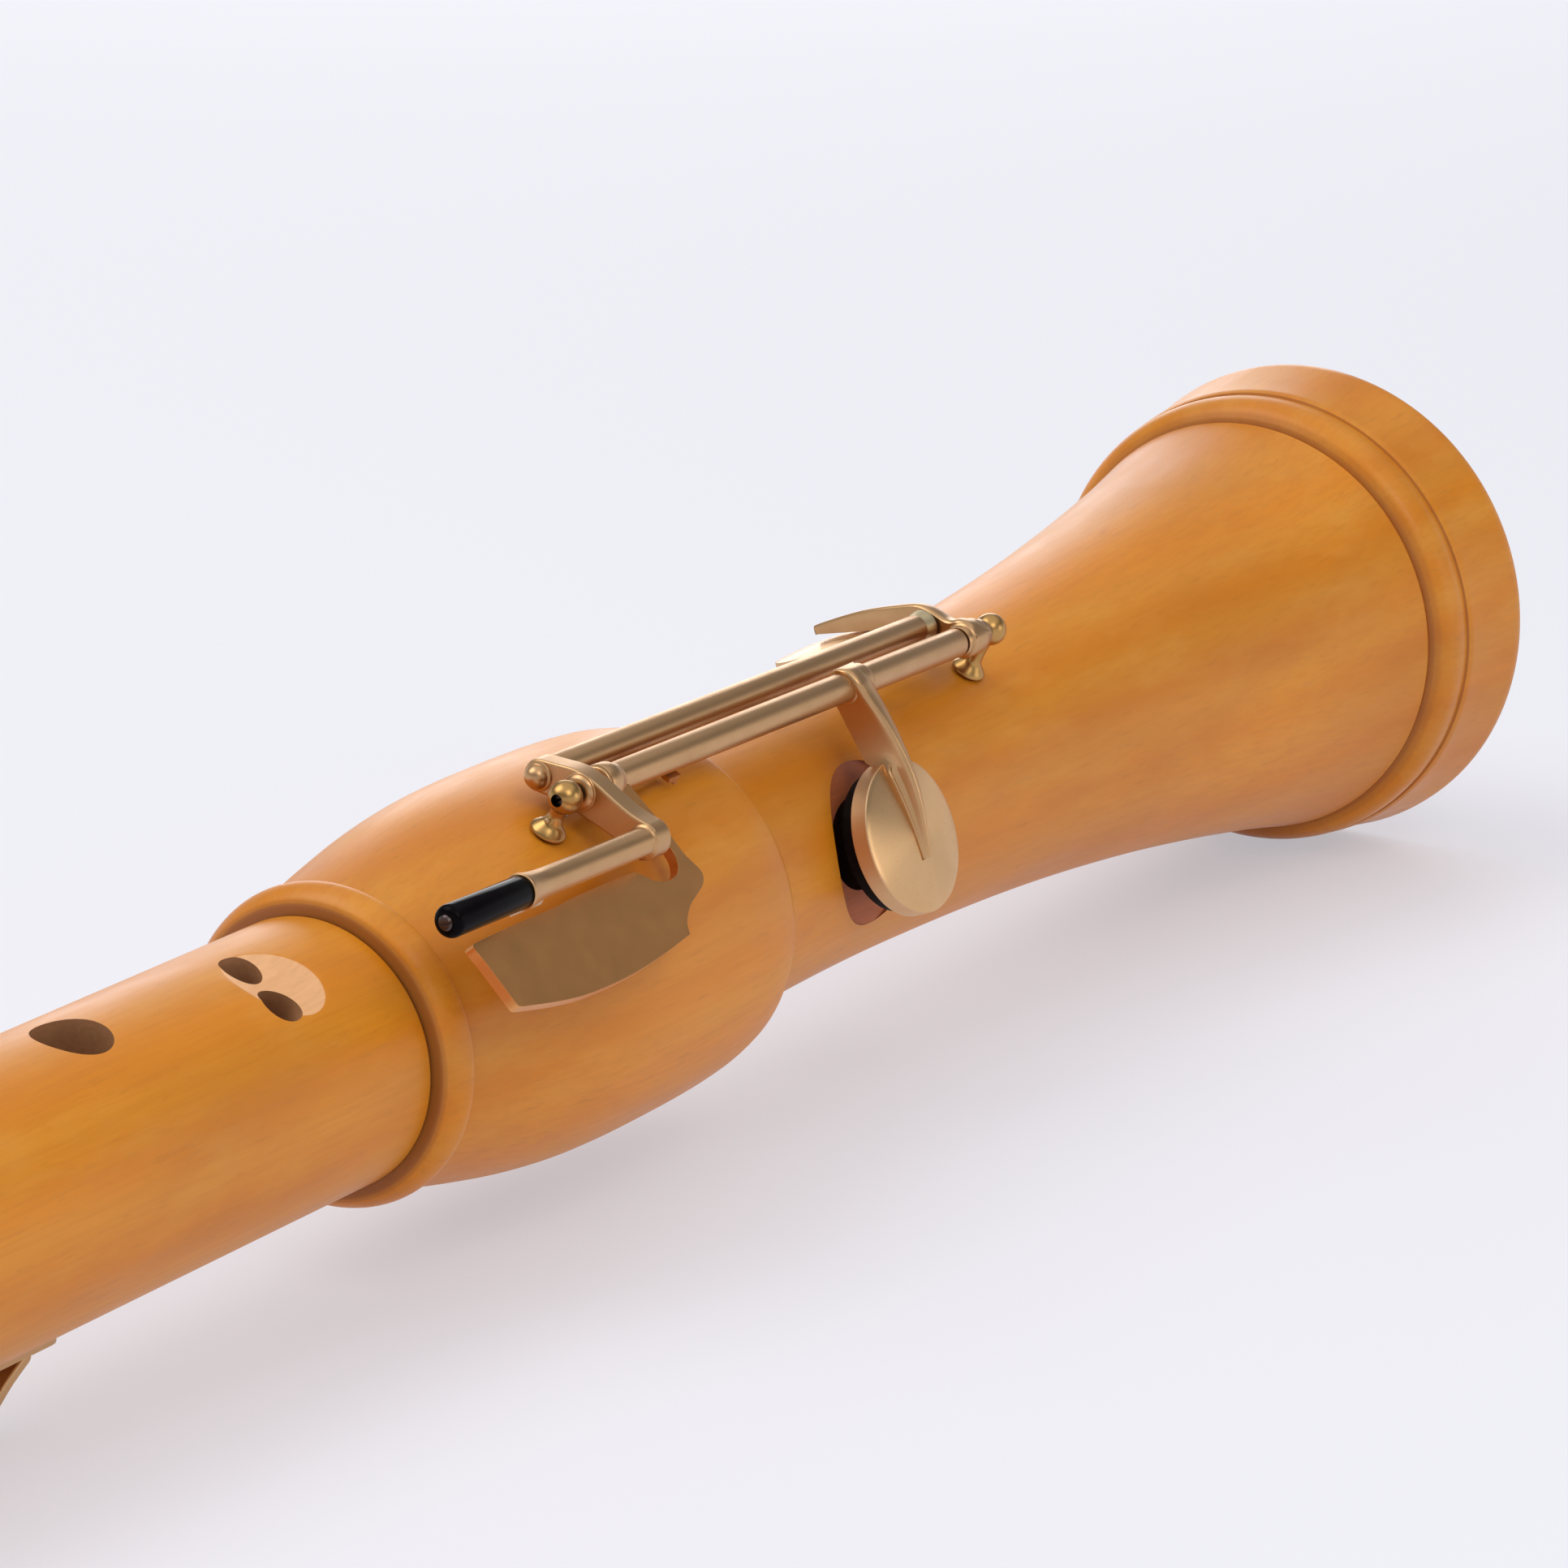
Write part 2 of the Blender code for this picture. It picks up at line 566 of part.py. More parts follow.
def post_outline(surface, ball_height):
    """A turned post: threaded shank, flared foot, waist and ball, from the top down."""
    ball = [(max(x, 0.0), y) for x, y in arc((0, ball_height), BALL_RADIUS, 90, -62, 6)]
    base = surface + GAP
    foot = [(0.98, base + 2.1), (1.2, base + 1.4), (1.9, base + 0.6), (2.25, base)]
    shank = [(POST_SHANK_RADIUS, base), (POST_SHANK_RADIUS, base - 5.4), (1.2, base - 5.9), (0.0, base - 5.9)]
    return ball + foot + shank


def make_foot(instrument, hinge_side, hinge):
    """Foot joint, its posts and the rod that both keys swing on."""
    foot = joint_body("foot_joint", foot_outline(), foot_bore(), instrument)
    pads = {}
    for name, (station, angle, seat_radius, _), neck, hole in (
            ("near_pad", NEAR_PAD, NECK_RADIUS_NEAR, NEAR_TONE_HOLE),
            ("far_pad", FAR_PAD, NECK_RADIUS_FAR, FAR_TONE_HOLE)):
        frame, flat = pad_frame(station, angle, neck, seat_radius)
        pads[name] = Matrix.Translation(Vector((station, 0, 0)) * MM) @ frame
        for cutter in seat_cutters(name, instrument, station, angle, flat, seat_radius, hole):
            boolean(foot, cutter, "DIFFERENCE")
    for name, station, surface, ball_height, bore_end in (
            ("front_post", FRONT_POST_STATION, FRONT_POST_SURFACE, FRONT_HINGE_RADIUS, 2 * BALL_RADIUS),
            ("rear_post", REAR_POST_STATION, REAR_POST_SURFACE, REAR_HINGE_RADIUS, 1.0)):
        socket = rod(name + "_socket_cut", POST_SHANK_RADIUS + GAP, surface - 6.2, surface + 4, None,
                     hinge_side, (station, 0, 0), steps=20, cutter=True)
        boolean(foot, socket, "DIFFERENCE")
        post = turned(name, post_outline(surface, ball_height), BRASS, hinge_side, (station, 0, 0), steps=16)
        distance = (station - FRONT_POST_STATION) / cos(HINGE_SLOPE)
        drill = rod(name + "_bore", BUSH_RADIUS, distance - 2 * BALL_RADIUS, distance + bore_end, None, hinge,
                    turn=ALONG_BORE, steps=16, cutter=True)
        boolean(post, drill, "DIFFERENCE")
        finish(post, BRASS)
    finish(foot, WOOD)
    hinge_rod = rod("hinge_rod", HINGE_ROD_RADIUS, -1.2, HINGE_LENGTH + 0.6, STEEL, hinge,
                    turn=ALONG_BORE, edge=0.15, steps=16)
    slot = box("hinge_rod_slot", (1.2, 0.35, 4.0), None, hinge, (-1.2, 0, 0), (radians(35), 0, 0),
               cutter=True)
    boolean(hinge_rod, slot, "DIFFERENCE")
    finish(hinge_rod, STEEL)
    return pads


def cup_and_pad(name, frame, cup_radius):
    """A shallow domed cup with a thick pad in it."""
    rim = cup_radius - 0.4
    dome = [(rim * k / 4, CUP_DOME * (1 - (k / 4) ** 2)) for k in range(5)]
    inside = cup_radius - CUP_WALL
    turned(name + "_cup", dome + [(cup_radius, -0.4), (cup_radius, -CUP_HEIGHT), (inside, -CUP_HEIGHT),
                                  (inside, -0.9), (0.0, -0.9)], BRASS, frame, steps=28)
    pad_radius = inside - GAP
    bottom = -CUP_HEIGHT - PAD_DROP
    turned(name, [(0.0, -0.9 - GAP), (pad_radius, -0.9 - GAP), (pad_radius, bottom + 0.4),
                  (pad_radius - 0.4, bottom), (0.0, bottom)], PAD, frame, steps=24)


def pad_arm(name, frame, side, hinge, arm, clear_radius, cup_radius, parent_matrix, profile, hub_end=None):
    """A deep curved blade from the hinge to the cup, tapering to a point on the cup's dome."""
    x, width, ring_start, ring_end = arm
    crest, tip, tip_low, tip_high = profile
    centre = parent_matrix.inverted() @ Vector((x * MM, 0, 0))
    reach = abs(centre.y) / MM
    drop = -centre.z / MM
    over_cup = [(tip, tip_low), (0.5, CUP_DOME + GAP), (-5.0, 0.75 + GAP), (-cup_radius, 0.1 + GAP)]
    web = [(-cup_radius - 0.4, -0.2), (-cup_radius - 0.4, -2.3), (-0.72 * reach, -3.5),
           (-reach + 1.2, -drop - 1.9)]
    ridge = smooth_curve([(-reach + 0.6, -drop + 2.1), (-0.78 * reach, 0.4 * crest),
                          (-0.56 * reach, 0.85 * crest), (-0.25 * reach, crest), (tip - 0.2, tip_high)], 3)
    blade = prism(name, ridge + over_cup + web, width, None, frame, (centre.x / MM, 0, 0),
                  (pi / 2, 0, side * pi / 2))
    taper(blade, 0, -reach, tip, 1.0, 0.25)
    ring = rod(name + "_ring", ARM_RING_RADIUS, ring_start, ring_end, None, hinge, turn=ALONG_BORE,
               edge=0.25, cutter=True)
    boolean(blade, ring, "UNION")
    if hub_end:
        hub = rod(name + "_hub", HINGE_TUBE_RADIUS, ring_start + 1, hub_end, None, hinge, turn=ALONG_BORE,
                  cutter=True)
        boolean(blade, hub, "UNION")
    drill = rod(name + "_drill", clear_radius, ring_start - 2, ring_end + 4, None, hinge,
                turn=ALONG_BORE, cutter=True)
    boolean(blade, drill, "DIFFERENCE")
    finish(blade, BRASS)


def plate_outline():
    """The touch plate seen from above: x along the hinge, y away from it."""
    arm_edge = smooth_curve([(11.2, 2.45), (12.4, 6.8), (12.95, 10.8), (14.2, 14.6)], 2)
    scoop = smooth_curve([(14.15, 15.8), (13.0, 16.8), (9.0, 18.3), (6.9, 19.5), (5.35, 21.6)], 2)
    outer_edge = smooth_curve([(1.5, 22.2), (-9.9, 23.3), (-20.5, 23.1), (-30.9, 21.6)], 2)
    front_edge = [(-31.6, 21.3), (-31.8, 20.7), (-33.2, 13.5), (-33.1, 12.9), (-32.4, 12.6)]
    inner_edge = [(-24.0, 12.35), (-15.5, 12.35), (-9.9, 12.1)]
    notch = smooth_curve([(2.2, 12.1), (4.7, 13.9), (6.9, 14.6), (9.2, 14.4), (11.2, 12.6), (10.9, 9.4),
                          (9.5, 5.2), (9.0, 2.45)], 2)
    return [(x, -y) for x, y in arm_edge + scoop + outer_edge + front_edge + inner_edge + notch]


def make_plate_key(hinge, pads):
    """Open-standing key: hinge tube, touch plate, pad arm, cup, pad and spring hook."""
    key = add_empty("plate_key", hinge)
    rod("hinge_tube", HINGE_TUBE_RADIUS, *HINGE_TUBE_SPAN, BRASS, key, turn=ALONG_BORE, inner=BUSH_RADIUS)
    half = PLATE_THICKNESS / 2
    plate = prism("touch_plate", plate_outline(), PLATE_THICKNESS, None, key,
                  (0, half * sin(PLATE_TILT), PLATE_RISE - half * cos(PLATE_TILT)),
                  (PLATE_TILT, 0, 0), edge=0.35, edge_segments=1)
    collar = rod("touch_plate_collar", PLATE_COLLAR_RADIUS, *PLATE_COLLAR, None, hinge, turn=ALONG_BORE,
                 edge=0.25, cutter=True)
    drill = rod("touch_plate_drill", HINGE_TUBE_RADIUS + GAP, 6.0, 16.0, None, hinge, turn=ALONG_BORE,
                cutter=True)
    boolean(plate, collar, "UNION")
    boolean(plate, drill, "DIFFERENCE")
    finish(plate, BRASS)

    swing = add_empty("near_pad_swing", key, turn=(-PLATE_KEY_OPENING, 0, 0))
    frame = add_empty("near_pad_frame", swing)
    closed = HINGE_IN_INSTRUMENT.inverted() @ pads["near_pad"]
    frame.matrix_local = closed
    cup_and_pad("near_pad", frame, NEAR_PAD[3])
    pad_arm("near_pad_arm", frame, -1, swing, NEAR_ARM, HINGE_TUBE_RADIUS + GAP, NEAR_PAD[3], closed,
            NEAR_PROFILE)

    prism("plate_key_spring_hook", [(-1.3, 0), (1.3, 0), (1.0, -0.7), (1.3, -1.3), (0.8, -1.5),
                                    (0.2, -0.9), (-0.9, -0.8)], 1.2, BRASS, key,
          (PLATE_HOOK_X, -1.1, -HINGE_TUBE_RADIUS - GAP + 0.15), (pi / 2, 0, 0))


def make_roller_key(hinge, pads):
    """Closed-standing rocker: lever, bridge, rear arm, cup, pad, roller carrier and roller."""
    key = add_empty("roller_key", hinge)
    back = LEVER_FRONT + LEVER_THICKNESS
    path = smooth_curve([(BRIDGE_Y, BRIDGE_Z), (3.4, -0.85), (1.2, -0.15), (-4.6, 0.0), (-9.7, -0.15)], 2)
    lever = prism("roller_lever", band_outline(path, LEVER_HALF_WIDTH, 5), LEVER_THICKNESS, None, key,
                  (LEVER_FRONT + LEVER_THICKNESS / 2, 0, 0), (pi / 2, 0, pi / 2), edge=0.35, edge_segments=1)
    knuckle = rod("lever_knuckle", BALL_RADIUS, LEVER_FRONT - 0.5, back + 0.3, None, hinge, turn=ALONG_BORE,
                  edge=0.15, cutter=True)
    drill = rod("lever_drill", BUSH_RADIUS, 1.0, 8.0, None, hinge, turn=ALONG_BORE, cutter=True)
    boolean(lever, knuckle, "UNION")
    boolean(lever, drill, "DIFFERENCE")
    finish(lever, BRASS)

    bridge_line = (0, BRIDGE_Y, BRIDGE_Z)
    rod("bridge_rod", BRIDGE_RADIUS, back + GAP, BRIDGE_END, BRASS, key, bridge_line, ALONG_BORE)
    cap_face = LEVER_FRONT - GAP
    dome = [(radius, height) for height, radius in arc((cap_face - 0.1, 0), CAP_RADIUS, 90, 180, 4)]
    turned("bridge_cap", [(0.0, cap_face), (CAP_RADIUS, cap_face)] + dome, BRASS, key, bridge_line,
           ALONG_BORE, steps=16)

    frame = add_empty("far_pad_frame", key)
    closed = HINGE_IN_INSTRUMENT.inverted() @ pads["far_pad"]
    frame.matrix_local = closed
    cup_and_pad("far_pad", frame, FAR_PAD[3])
    pad_arm("far_pad_arm", frame, 1, hinge, FAR_ARM, BUSH_RADIUS, FAR_PAD[3], closed, FAR_PROFILE,
            FAR_HUB_END)

    roller_line = (0, ROLLER_LINE_Y, ROLLER_LINE_Z)
    end = CARRIER_END
    carrier = turned("roller_carrier", [
        (0.0, cap_face), (1.95, cap_face), (1.95, cap_face - 0.6), (CARRIER_RADIUS, cap_face - 1.0),
        (CARRIER_RADIUS, end + 5.0), (2.0, end + 1.6), (2.15, end + 0.3), (2.0, end), (0.0, end)],
        None, key, roller_line, ALONG_BORE, steps=20)
    fin = prism("stop_fin_blank", [(end + 6.3, -1.0), (end + 0.5, -1.0), (end + 1.3, -FIN_DROP),
                                   (end + 4.3, -FIN_DROP)], FIN_THICKNESS, None, key,
                (0, ROLLER_LINE_Y + FIN_SHIFT, ROLLER_LINE_Z), (pi / 2, 0, 0), cutter=True)
    thread = rod("roller_screw_drill", ROLLER_SCREW_RADIUS + GAP, end - 1, end + 6.3, None, key, roller_line,
                 ALONG_BORE, steps=16, cutter=True)
    boolean(carrier, fin, "UNION")
    boolean(carrier, thread, "DIFFERENCE")
    finish(carrier, BRASS)
    box("stop_bumper", BUMPER_SIZE, FELT, key,
        (*BUMPER_PLACE, ROLLER_LINE_Z - FIN_DROP - GAP - BUMPER_SIZE[2] / 2))

    roller_axis = add_empty("roller_axis", key, roller_line)
    start = end - GAP
    tip = start - ROLLER_LENGTH
    hole = ROLLER_SCREW_RADIUS + GAP
    rounded_tip = [(0.9 + 1.2 * cos(radians(a)), tip + 1.2 - 1.2 * sin(radians(a))) for a in (0, 30, 60, 80)]
    outline = [(hole, start), (ROLLER_RADIUS - 0.3, start), (ROLLER_RADIUS, start - 0.3)] + rounded_tip
    turned("roller", outline + [(1.1, tip + 0.6), (hole, tip + 0.6)], BLACK, roller_axis, turn=ALONG_BORE,
           closed=True, steps=20)
    screw = turned("roller_screw", [
        (0.0, end + 6.0), (ROLLER_SCREW_RADIUS, end + 6.0), (ROLLER_SCREW_RADIUS, tip + 0.3),
        (0.95, tip + 0.3), (0.95, tip - 0.1), (0.6, tip - 0.35), (0.0, tip - 0.35)], STEEL, key, roller_line,
        ALONG_BORE, steps=12)
    slot = box("roller_screw_slot", (0.7, 3.0, 0.3), None, key,
               (tip - 0.35, ROLLER_LINE_Y, ROLLER_LINE_Z), (radians(-42), 0, 0), cutter=True)
    boolean(screw, slot, "DIFFERENCE")
    finish(screw, STEEL)

    prism("roller_key_spring_hook", [(-1.3, 0), (1.3, 0), (0.9, -1.3), (-0.4, -2.2), (-1.2, -1.9),
                                     (-0.5, -1.2)], 1.2, BRASS, key,
          (ROLLER_HOOK_X, BRIDGE_Y, BRIDGE_Z - BRIDGE_RADIUS - GAP + 0.1), (pi / 2, 0, 0))


def needle_spring(name, hinge, start, end):
    """A straight tapering needle between two points beside the hinge."""
    curve = bpy.data.curves.new(name, "CURVE")
    curve.dimensions = "3D"
    curve.bevel_depth = 0.35 * MM
    curve.bevel_resolution = 2
    curve.use_fill_caps = True
    spline = curve.splines.new("POLY")
    spline.points.add(1)
    for point, position, width in zip(spline.points, (start, end), (1.0, 0.6)):
        point.co = (*(Vector(position) * MM), 1.0)
        point.radius = width
    needle = bpy.data.objects.new(name, curve)
    needle.data.materials.append(STEEL)
    PARTS.objects.link(needle)
    place(needle, hinge)


def rest_on_floor(instrument):
    """Lay the tilted instrument on its lowest points, with the origin under the middle of its box."""
    bpy.context.view_layer.update()
    depsgraph = bpy.context.evaluated_depsgraph_get()
    corners = []
    for obj in PARTS.objects:
        if obj.type != "EMPTY":
            mesh = obj.evaluated_get(depsgraph).to_mesh()
            corners += [obj.matrix_world @ vertex.co for vertex in mesh.vertices]
    lows = [min(corner[axis] for corner in corners) for axis in range(3)]
    highs = [max(corner[axis] for corner in corners) for axis in range(3)]
    instrument.location -= Vector(((lows[0] + highs[0]) / 2, (lows[1] + highs[1]) / 2, lows[2]))


LEAN = atan2(RIM_RADIUS - HEAD_BULGE_RADIUS, RIM_STATION - HEAD_BULGE_STATION)
HINGE_RUN = REAR_POST_STATION - FRONT_POST_STATION
HINGE_SLOPE = atan2(FRONT_HINGE_RADIUS - REAR_HINGE_RADIUS, HINGE_RUN)
HINGE_LENGTH = HINGE_RUN / cos(HINGE_SLOPE)
HINGE_IN_INSTRUMENT = (Matrix.Rotation(radians(HINGE_ANGLE), 4, "X")
                       @ Matrix.Translation(Vector((FRONT_POST_STATION, 0, FRONT_HINGE_RADIUS)) * MM)
                       @ Matrix.Rotation(HINGE_SLOPE, 4, "Y"))

clear_scene()
PARTS = new_collection("recorder")
CUTTERS = new_collection("cutters")
WOOD, RAW_WOOD, CORK, BRASS, STEEL, BLACK, PAD, FELT = (
    make_material(name) for name in ("wood", "raw_wood", "cork", "brass", "steel", "black", "pad", "felt"))

INSTRUMENT = add_empty("instrument", turn=(0, -LEAN, 0))
HINGE_SIDE = add_empty("hinge_side", INSTRUMENT, turn=(radians(HINGE_ANGLE), 0, 0))
HINGE = add_empty("hinge_axis", HINGE_SIDE, (FRONT_POST_STATION, 0, FRONT_HINGE_RADIUS), (0, HINGE_SLOPE, 0))

make_head(INSTRUMENT)
MIDDLE = make_middle(INSTRUMENT)
make_thumb_rest(INSTRUMENT, MIDDLE)
PADS = make_foot(INSTRUMENT, HINGE_SIDE, HINGE)
make_plate_key(HINGE, PADS)
make_roller_key(HINGE, PADS)
needle_spring("plate_key_spring", HINGE, *PLATE_SPRING)
needle_spring("roller_key_spring", HINGE, *ROLLER_SPRING)
rest_on_floor(INSTRUMENT)
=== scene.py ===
"""Looks for a tenor recorder with a two-key foot, laid on a pale floor.

Lengths in the modelling code are millimetres. Turned pieces are drawn along the bore from the
face of the foot joint, and the keys along their hinge from the front post.
"""
import json
from math import atan2, cos, pi, radians, sin, sqrt

import bmesh
import bpy
from bpy.props import FloatProperty, FloatVectorProperty, PointerProperty
from mathutils import Matrix, Vector


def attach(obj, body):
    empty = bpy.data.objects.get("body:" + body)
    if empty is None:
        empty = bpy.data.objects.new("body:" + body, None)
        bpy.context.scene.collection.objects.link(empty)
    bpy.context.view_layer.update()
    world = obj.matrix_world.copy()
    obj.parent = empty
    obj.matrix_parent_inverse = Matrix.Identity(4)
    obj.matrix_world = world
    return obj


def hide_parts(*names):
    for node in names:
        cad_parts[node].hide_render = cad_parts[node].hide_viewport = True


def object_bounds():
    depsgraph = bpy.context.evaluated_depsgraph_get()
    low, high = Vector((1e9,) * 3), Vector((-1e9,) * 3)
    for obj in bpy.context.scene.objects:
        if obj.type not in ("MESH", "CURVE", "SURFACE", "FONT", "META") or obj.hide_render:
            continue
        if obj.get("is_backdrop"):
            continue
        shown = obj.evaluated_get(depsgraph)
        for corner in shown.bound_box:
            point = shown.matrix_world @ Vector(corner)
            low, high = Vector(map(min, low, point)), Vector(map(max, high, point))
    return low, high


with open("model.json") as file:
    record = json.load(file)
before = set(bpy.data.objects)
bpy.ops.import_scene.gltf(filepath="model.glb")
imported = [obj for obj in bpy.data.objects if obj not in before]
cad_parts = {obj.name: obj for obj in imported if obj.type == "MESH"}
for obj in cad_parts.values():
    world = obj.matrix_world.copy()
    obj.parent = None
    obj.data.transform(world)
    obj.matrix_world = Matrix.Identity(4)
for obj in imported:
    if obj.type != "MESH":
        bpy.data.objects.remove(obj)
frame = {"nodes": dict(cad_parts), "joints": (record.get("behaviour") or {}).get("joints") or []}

bl_info = {
    "name": "Recorder with Two-Key Foot",
    "version": (1, 0, 0),
    "blender": (4, 5, 0),
    "location": "3D View > Sidebar > Recorder",
    "description": "Builds the turned joints, keywork, finishes and studio of a tenor recorder",
    "category": "Add Mesh",
}

MM = 0.001
FULL_TURN = 2 * pi
MERGE_DISTANCE = 0.002 * MM
SMOOTH_ANGLE = 34
LATHE_MAP = "across_the_turning"

# The air between two solids that lie on or in each other
GAP = 0.3

# Materials by the name of their finish
FINISH = {}

# The frame's joint on the bore's axis, and how far that axis leans from the level
BORE_JOINT = next(joint for joint in frame["joints"] if joint["name"] == "foot_swivel")
LEAN = atan2(BORE_JOINT["axis"][2], BORE_JOINT["axis"][0])


def shift(x, y, z):
    """A move in millimetres."""
    return Matrix.Translation(Vector((x, y, z)) * MM)


def turn(degrees, axis):
    """A turn in degrees."""
    return Matrix.Rotation(radians(degrees), 4, axis)


def at_station(station, angle):
    """A place on the bore's axis, whose Z points outwards at an angle round the bore."""
    return shift(station, 0, 0) @ turn(angle, "X")


# The posts' stations along the bore, and the hinge line between their balls
FRONT_POST = 31.9
REAR_POST = 134.0
FRONT_HINGE_RADIUS = 28.6
REAR_HINGE_RADIUS = 25.3
HINGE_ANGLE = 29.0
HINGE_SLOPE = atan2(FRONT_HINGE_RADIUS - REAR_HINGE_RADIUS, REAR_POST - FRONT_POST)
HINGE_LENGTH = (REAR_POST - FRONT_POST) / cos(HINGE_SLOPE)
ALONG = turn(90, "Y")
INSTRUMENT = Matrix.Translation(BORE_JOINT["pos_m"]) @ Matrix.Rotation(-LEAN, 4, "Y")
FRONT_BALL = at_station(FRONT_POST, HINGE_ANGLE) @ shift(0, 0, FRONT_HINGE_RADIUS)
HINGE = INSTRUMENT @ FRONT_BALL @ Matrix.Rotation(HINGE_SLOPE, 4, "Y")

# The wood's radius under each post, and the post's own measures
FRONT_POST_SURFACE = 23.1
REAR_POST_SURFACE = 18.25
BALL_RADIUS = 2.1
SHANK_RADIUS = 1.5
SHANK_LENGTH = 5.8
SHANK_HOLE_RADIUS = 1.8
SHANK_HOLE_DEPTH = 6.2
ROD_RADIUS = 1.0
ROD_HOLE = 1.3

# Head joint and windway
HEAD_TOP = -447.0
HEAD_LINE = -240.0
WINDWAY_END = HEAD_TOP + 69.0
WINDWAY_WIDTH = 14.5
WINDWAY_RADIUS = 12.5
LABIUM_EDGE = WINDWAY_END + 5.5
RAMP_END = WINDWAY_END + 33.0
BLOCK_RADIUS = 11.7
BLOCK_FLOOR = 10.9

# Middle joint
MIDDLE_RADIUS = 16.5
UPPER_TENON = 14.2
LOWER_TENON = 13.8
CORK_RECESS = 1.5
DISH = {"station": -17.5, "angle": 25.5, "radius": 14.4, "depth": 1.1}

# Station, angle round the bore and diameter of each hole
FINGER_HOLES = {
    "first": (-187.0, 11.0, 7.2), "second": (-154.5, 11.0, 8.4), "third": (-122.0, 14.0, 6.4),
    "fourth": (-80.5, 6.0, 8.2), "fifth": (-49.1, 8.3, 9.4),
    "sixth_large": (-20.0, 36.4, 5.6), "sixth_small": (-18.9, 11.9, 5.2), "thumb": (-207.0, 185.0, 7.6),
}

# Thumb rest: station and angle, and how far its screws stand from its middle
THUMB_REST = (-66.0, 188.0)
REST_SCREWS = {"thumb_rest_screw_upper": -9.5, "thumb_rest_screw_lower": 9.5}
REST_HOLE = 1.4
SADDLE_THICKNESS = 1.3
SADDLE_CORNER = 3.0

# Keys, along the hinge from the front post
PLATE_OPENING = 9.5
PLATE_TILT = 22.0
TUBE_RADIUS = 1.9
BRIDGE_RADIUS = 1.85
BRIDGE_LINE = (5.5, -1.75)
ROLLER_LINE = (-10.3, 0.5)
ROLLER_LENGTH = 15.2
ROLLER_BORE = 1.0
CARRIER_END = -24.1
FIN_DEPTH = 3.3
BUMPER_SIZE = (6.6, 0.9, 0.9)
BUMPER_PLACE = (-19.6, -9.8, ROLLER_LINE[1] - FIN_DEPTH - BUMPER_SIZE[2] / 2)

# Cups and pads
NEAR_PAD = {"station": 98.3, "angle": 79.2, "seat": 10.4, "cup": 9.9, "neck": 17.5, "hole": 6.0}
FAR_PAD = {"station": 128.4, "angle": -20.0, "seat": 9.8, "cup": 9.0, "neck": 18.0, "hole": 5.6}
CUP_HEIGHT = 2.5
CUP_DOME = 0.9
CUP_WALL = 0.7
CUP_ROOF = -0.9
PAD_DROP = 2.3

# Studio, in metres: each lamp's offset from the station it faces, its size, power and colour
TARGET_STATION = 50.0
LAMPS = {
    "key_light": ((-0.4, 0.55, 0.95), 0.75, 4.6, (1.0, 0.99, 0.97)),
    "side_light": ((-0.35, -0.68, 0.72), 0.45, 1.8, (1.0, 0.98, 0.96)),
    "low_light": ((0.4, -1.0, 0.28), 0.40, 0.8, (1.0, 0.98, 0.96)),
    "back_light": ((1.2, 0.80, 0.36), 0.7, 3.4, (1.0, 0.99, 0.98)),
}
FLOOR_WIDTH = 60.0
FLOOR_GAP = 0.0001

# The photo's camera, in the instrument's own directions, solved from the outlines of the turned joints
CAMERA_PLACE = (-656.0, -469.9, 265.2)
CAMERA_FORWARD = (0.8168, 0.5056, -0.2778)
CAMERA_RIGHT = (0.5263, -0.8503, 0.0)
CAMERA_LENS = 167.7
CAMERA_SENSOR = 36


class RecorderColours(bpy.types.PropertyGroup):
    """Colours of the finishes."""
    wood: FloatVectorProperty(
        name="Wood", description="Main colour of the oiled wood", subtype="COLOR",
        default=(0.74, 0.246, 0.004), min=0, max=1)
    wood_streak: FloatVectorProperty(
        name="Wood streaks", description="Darker colour of the grain", subtype="COLOR",
        default=(0.58, 0.180, 0.006), min=0, max=1)
    raw_wood: FloatVectorProperty(
        name="Raw wood", description="Wood of the cut surfaces", subtype="COLOR",
        default=(0.43, 0.20, 0.085), min=0, max=1)
    bronze: FloatVectorProperty(
        name="Keys", description="Satin metal of the keys", subtype="COLOR",
        default=(0.585, 0.348, 0.168), min=0, max=1)
    post_brass: FloatVectorProperty(
        name="Posts", description="Polished metal of the posts", subtype="COLOR",
        default=(0.52, 0.295, 0.10), min=0, max=1)
    floor: FloatVectorProperty(
        name="Floor", description="Colour of the studio floor", subtype="COLOR",
        default=(0.86, 0.85, 0.90), min=0, max=1)


class RecorderSizes(bpy.types.PropertyGroup):
    """Sizes that a maker would change."""
    rim_radius: FloatProperty(
        name="Bell rim", description="Largest radius of the bell", subtype="DISTANCE",
        default=33.82 * MM, min=30 * MM, max=40 * MM)
    barrel_radius: FloatProperty(
        name="Barrel", description="Largest radius of the foot's barrel", subtype="DISTANCE",
        default=23.6 * MM, min=21 * MM, max=26 * MM)
    plate_thickness: FloatProperty(
        name="Touch plate", description="Thickness of the touch plate", subtype="DISTANCE",
        default=1.4 * MM, min=1 * MM, max=2.5 * MM)
    roller_radius: FloatProperty(
        name="Roller", description="Radius of the black roller", subtype="DISTANCE",
        default=2.0 * MM, min=1.5 * MM, max=3 * MM)


def choose_nothing():
    """Leave edit mode and deselect every object."""
    active = bpy.context.view_layer.objects.active
    if active and active.mode != "OBJECT":
        bpy.ops.object.mode_set(mode="OBJECT")
    bpy.ops.object.select_all(action="DESELECT")


def choose(*objects):
    """Select these objects only, the last one active, in object mode."""
    choose_nothing()
    for obj in objects:
        obj.select_set(True)
    bpy.context.view_layer.objects.active = objects[-1]


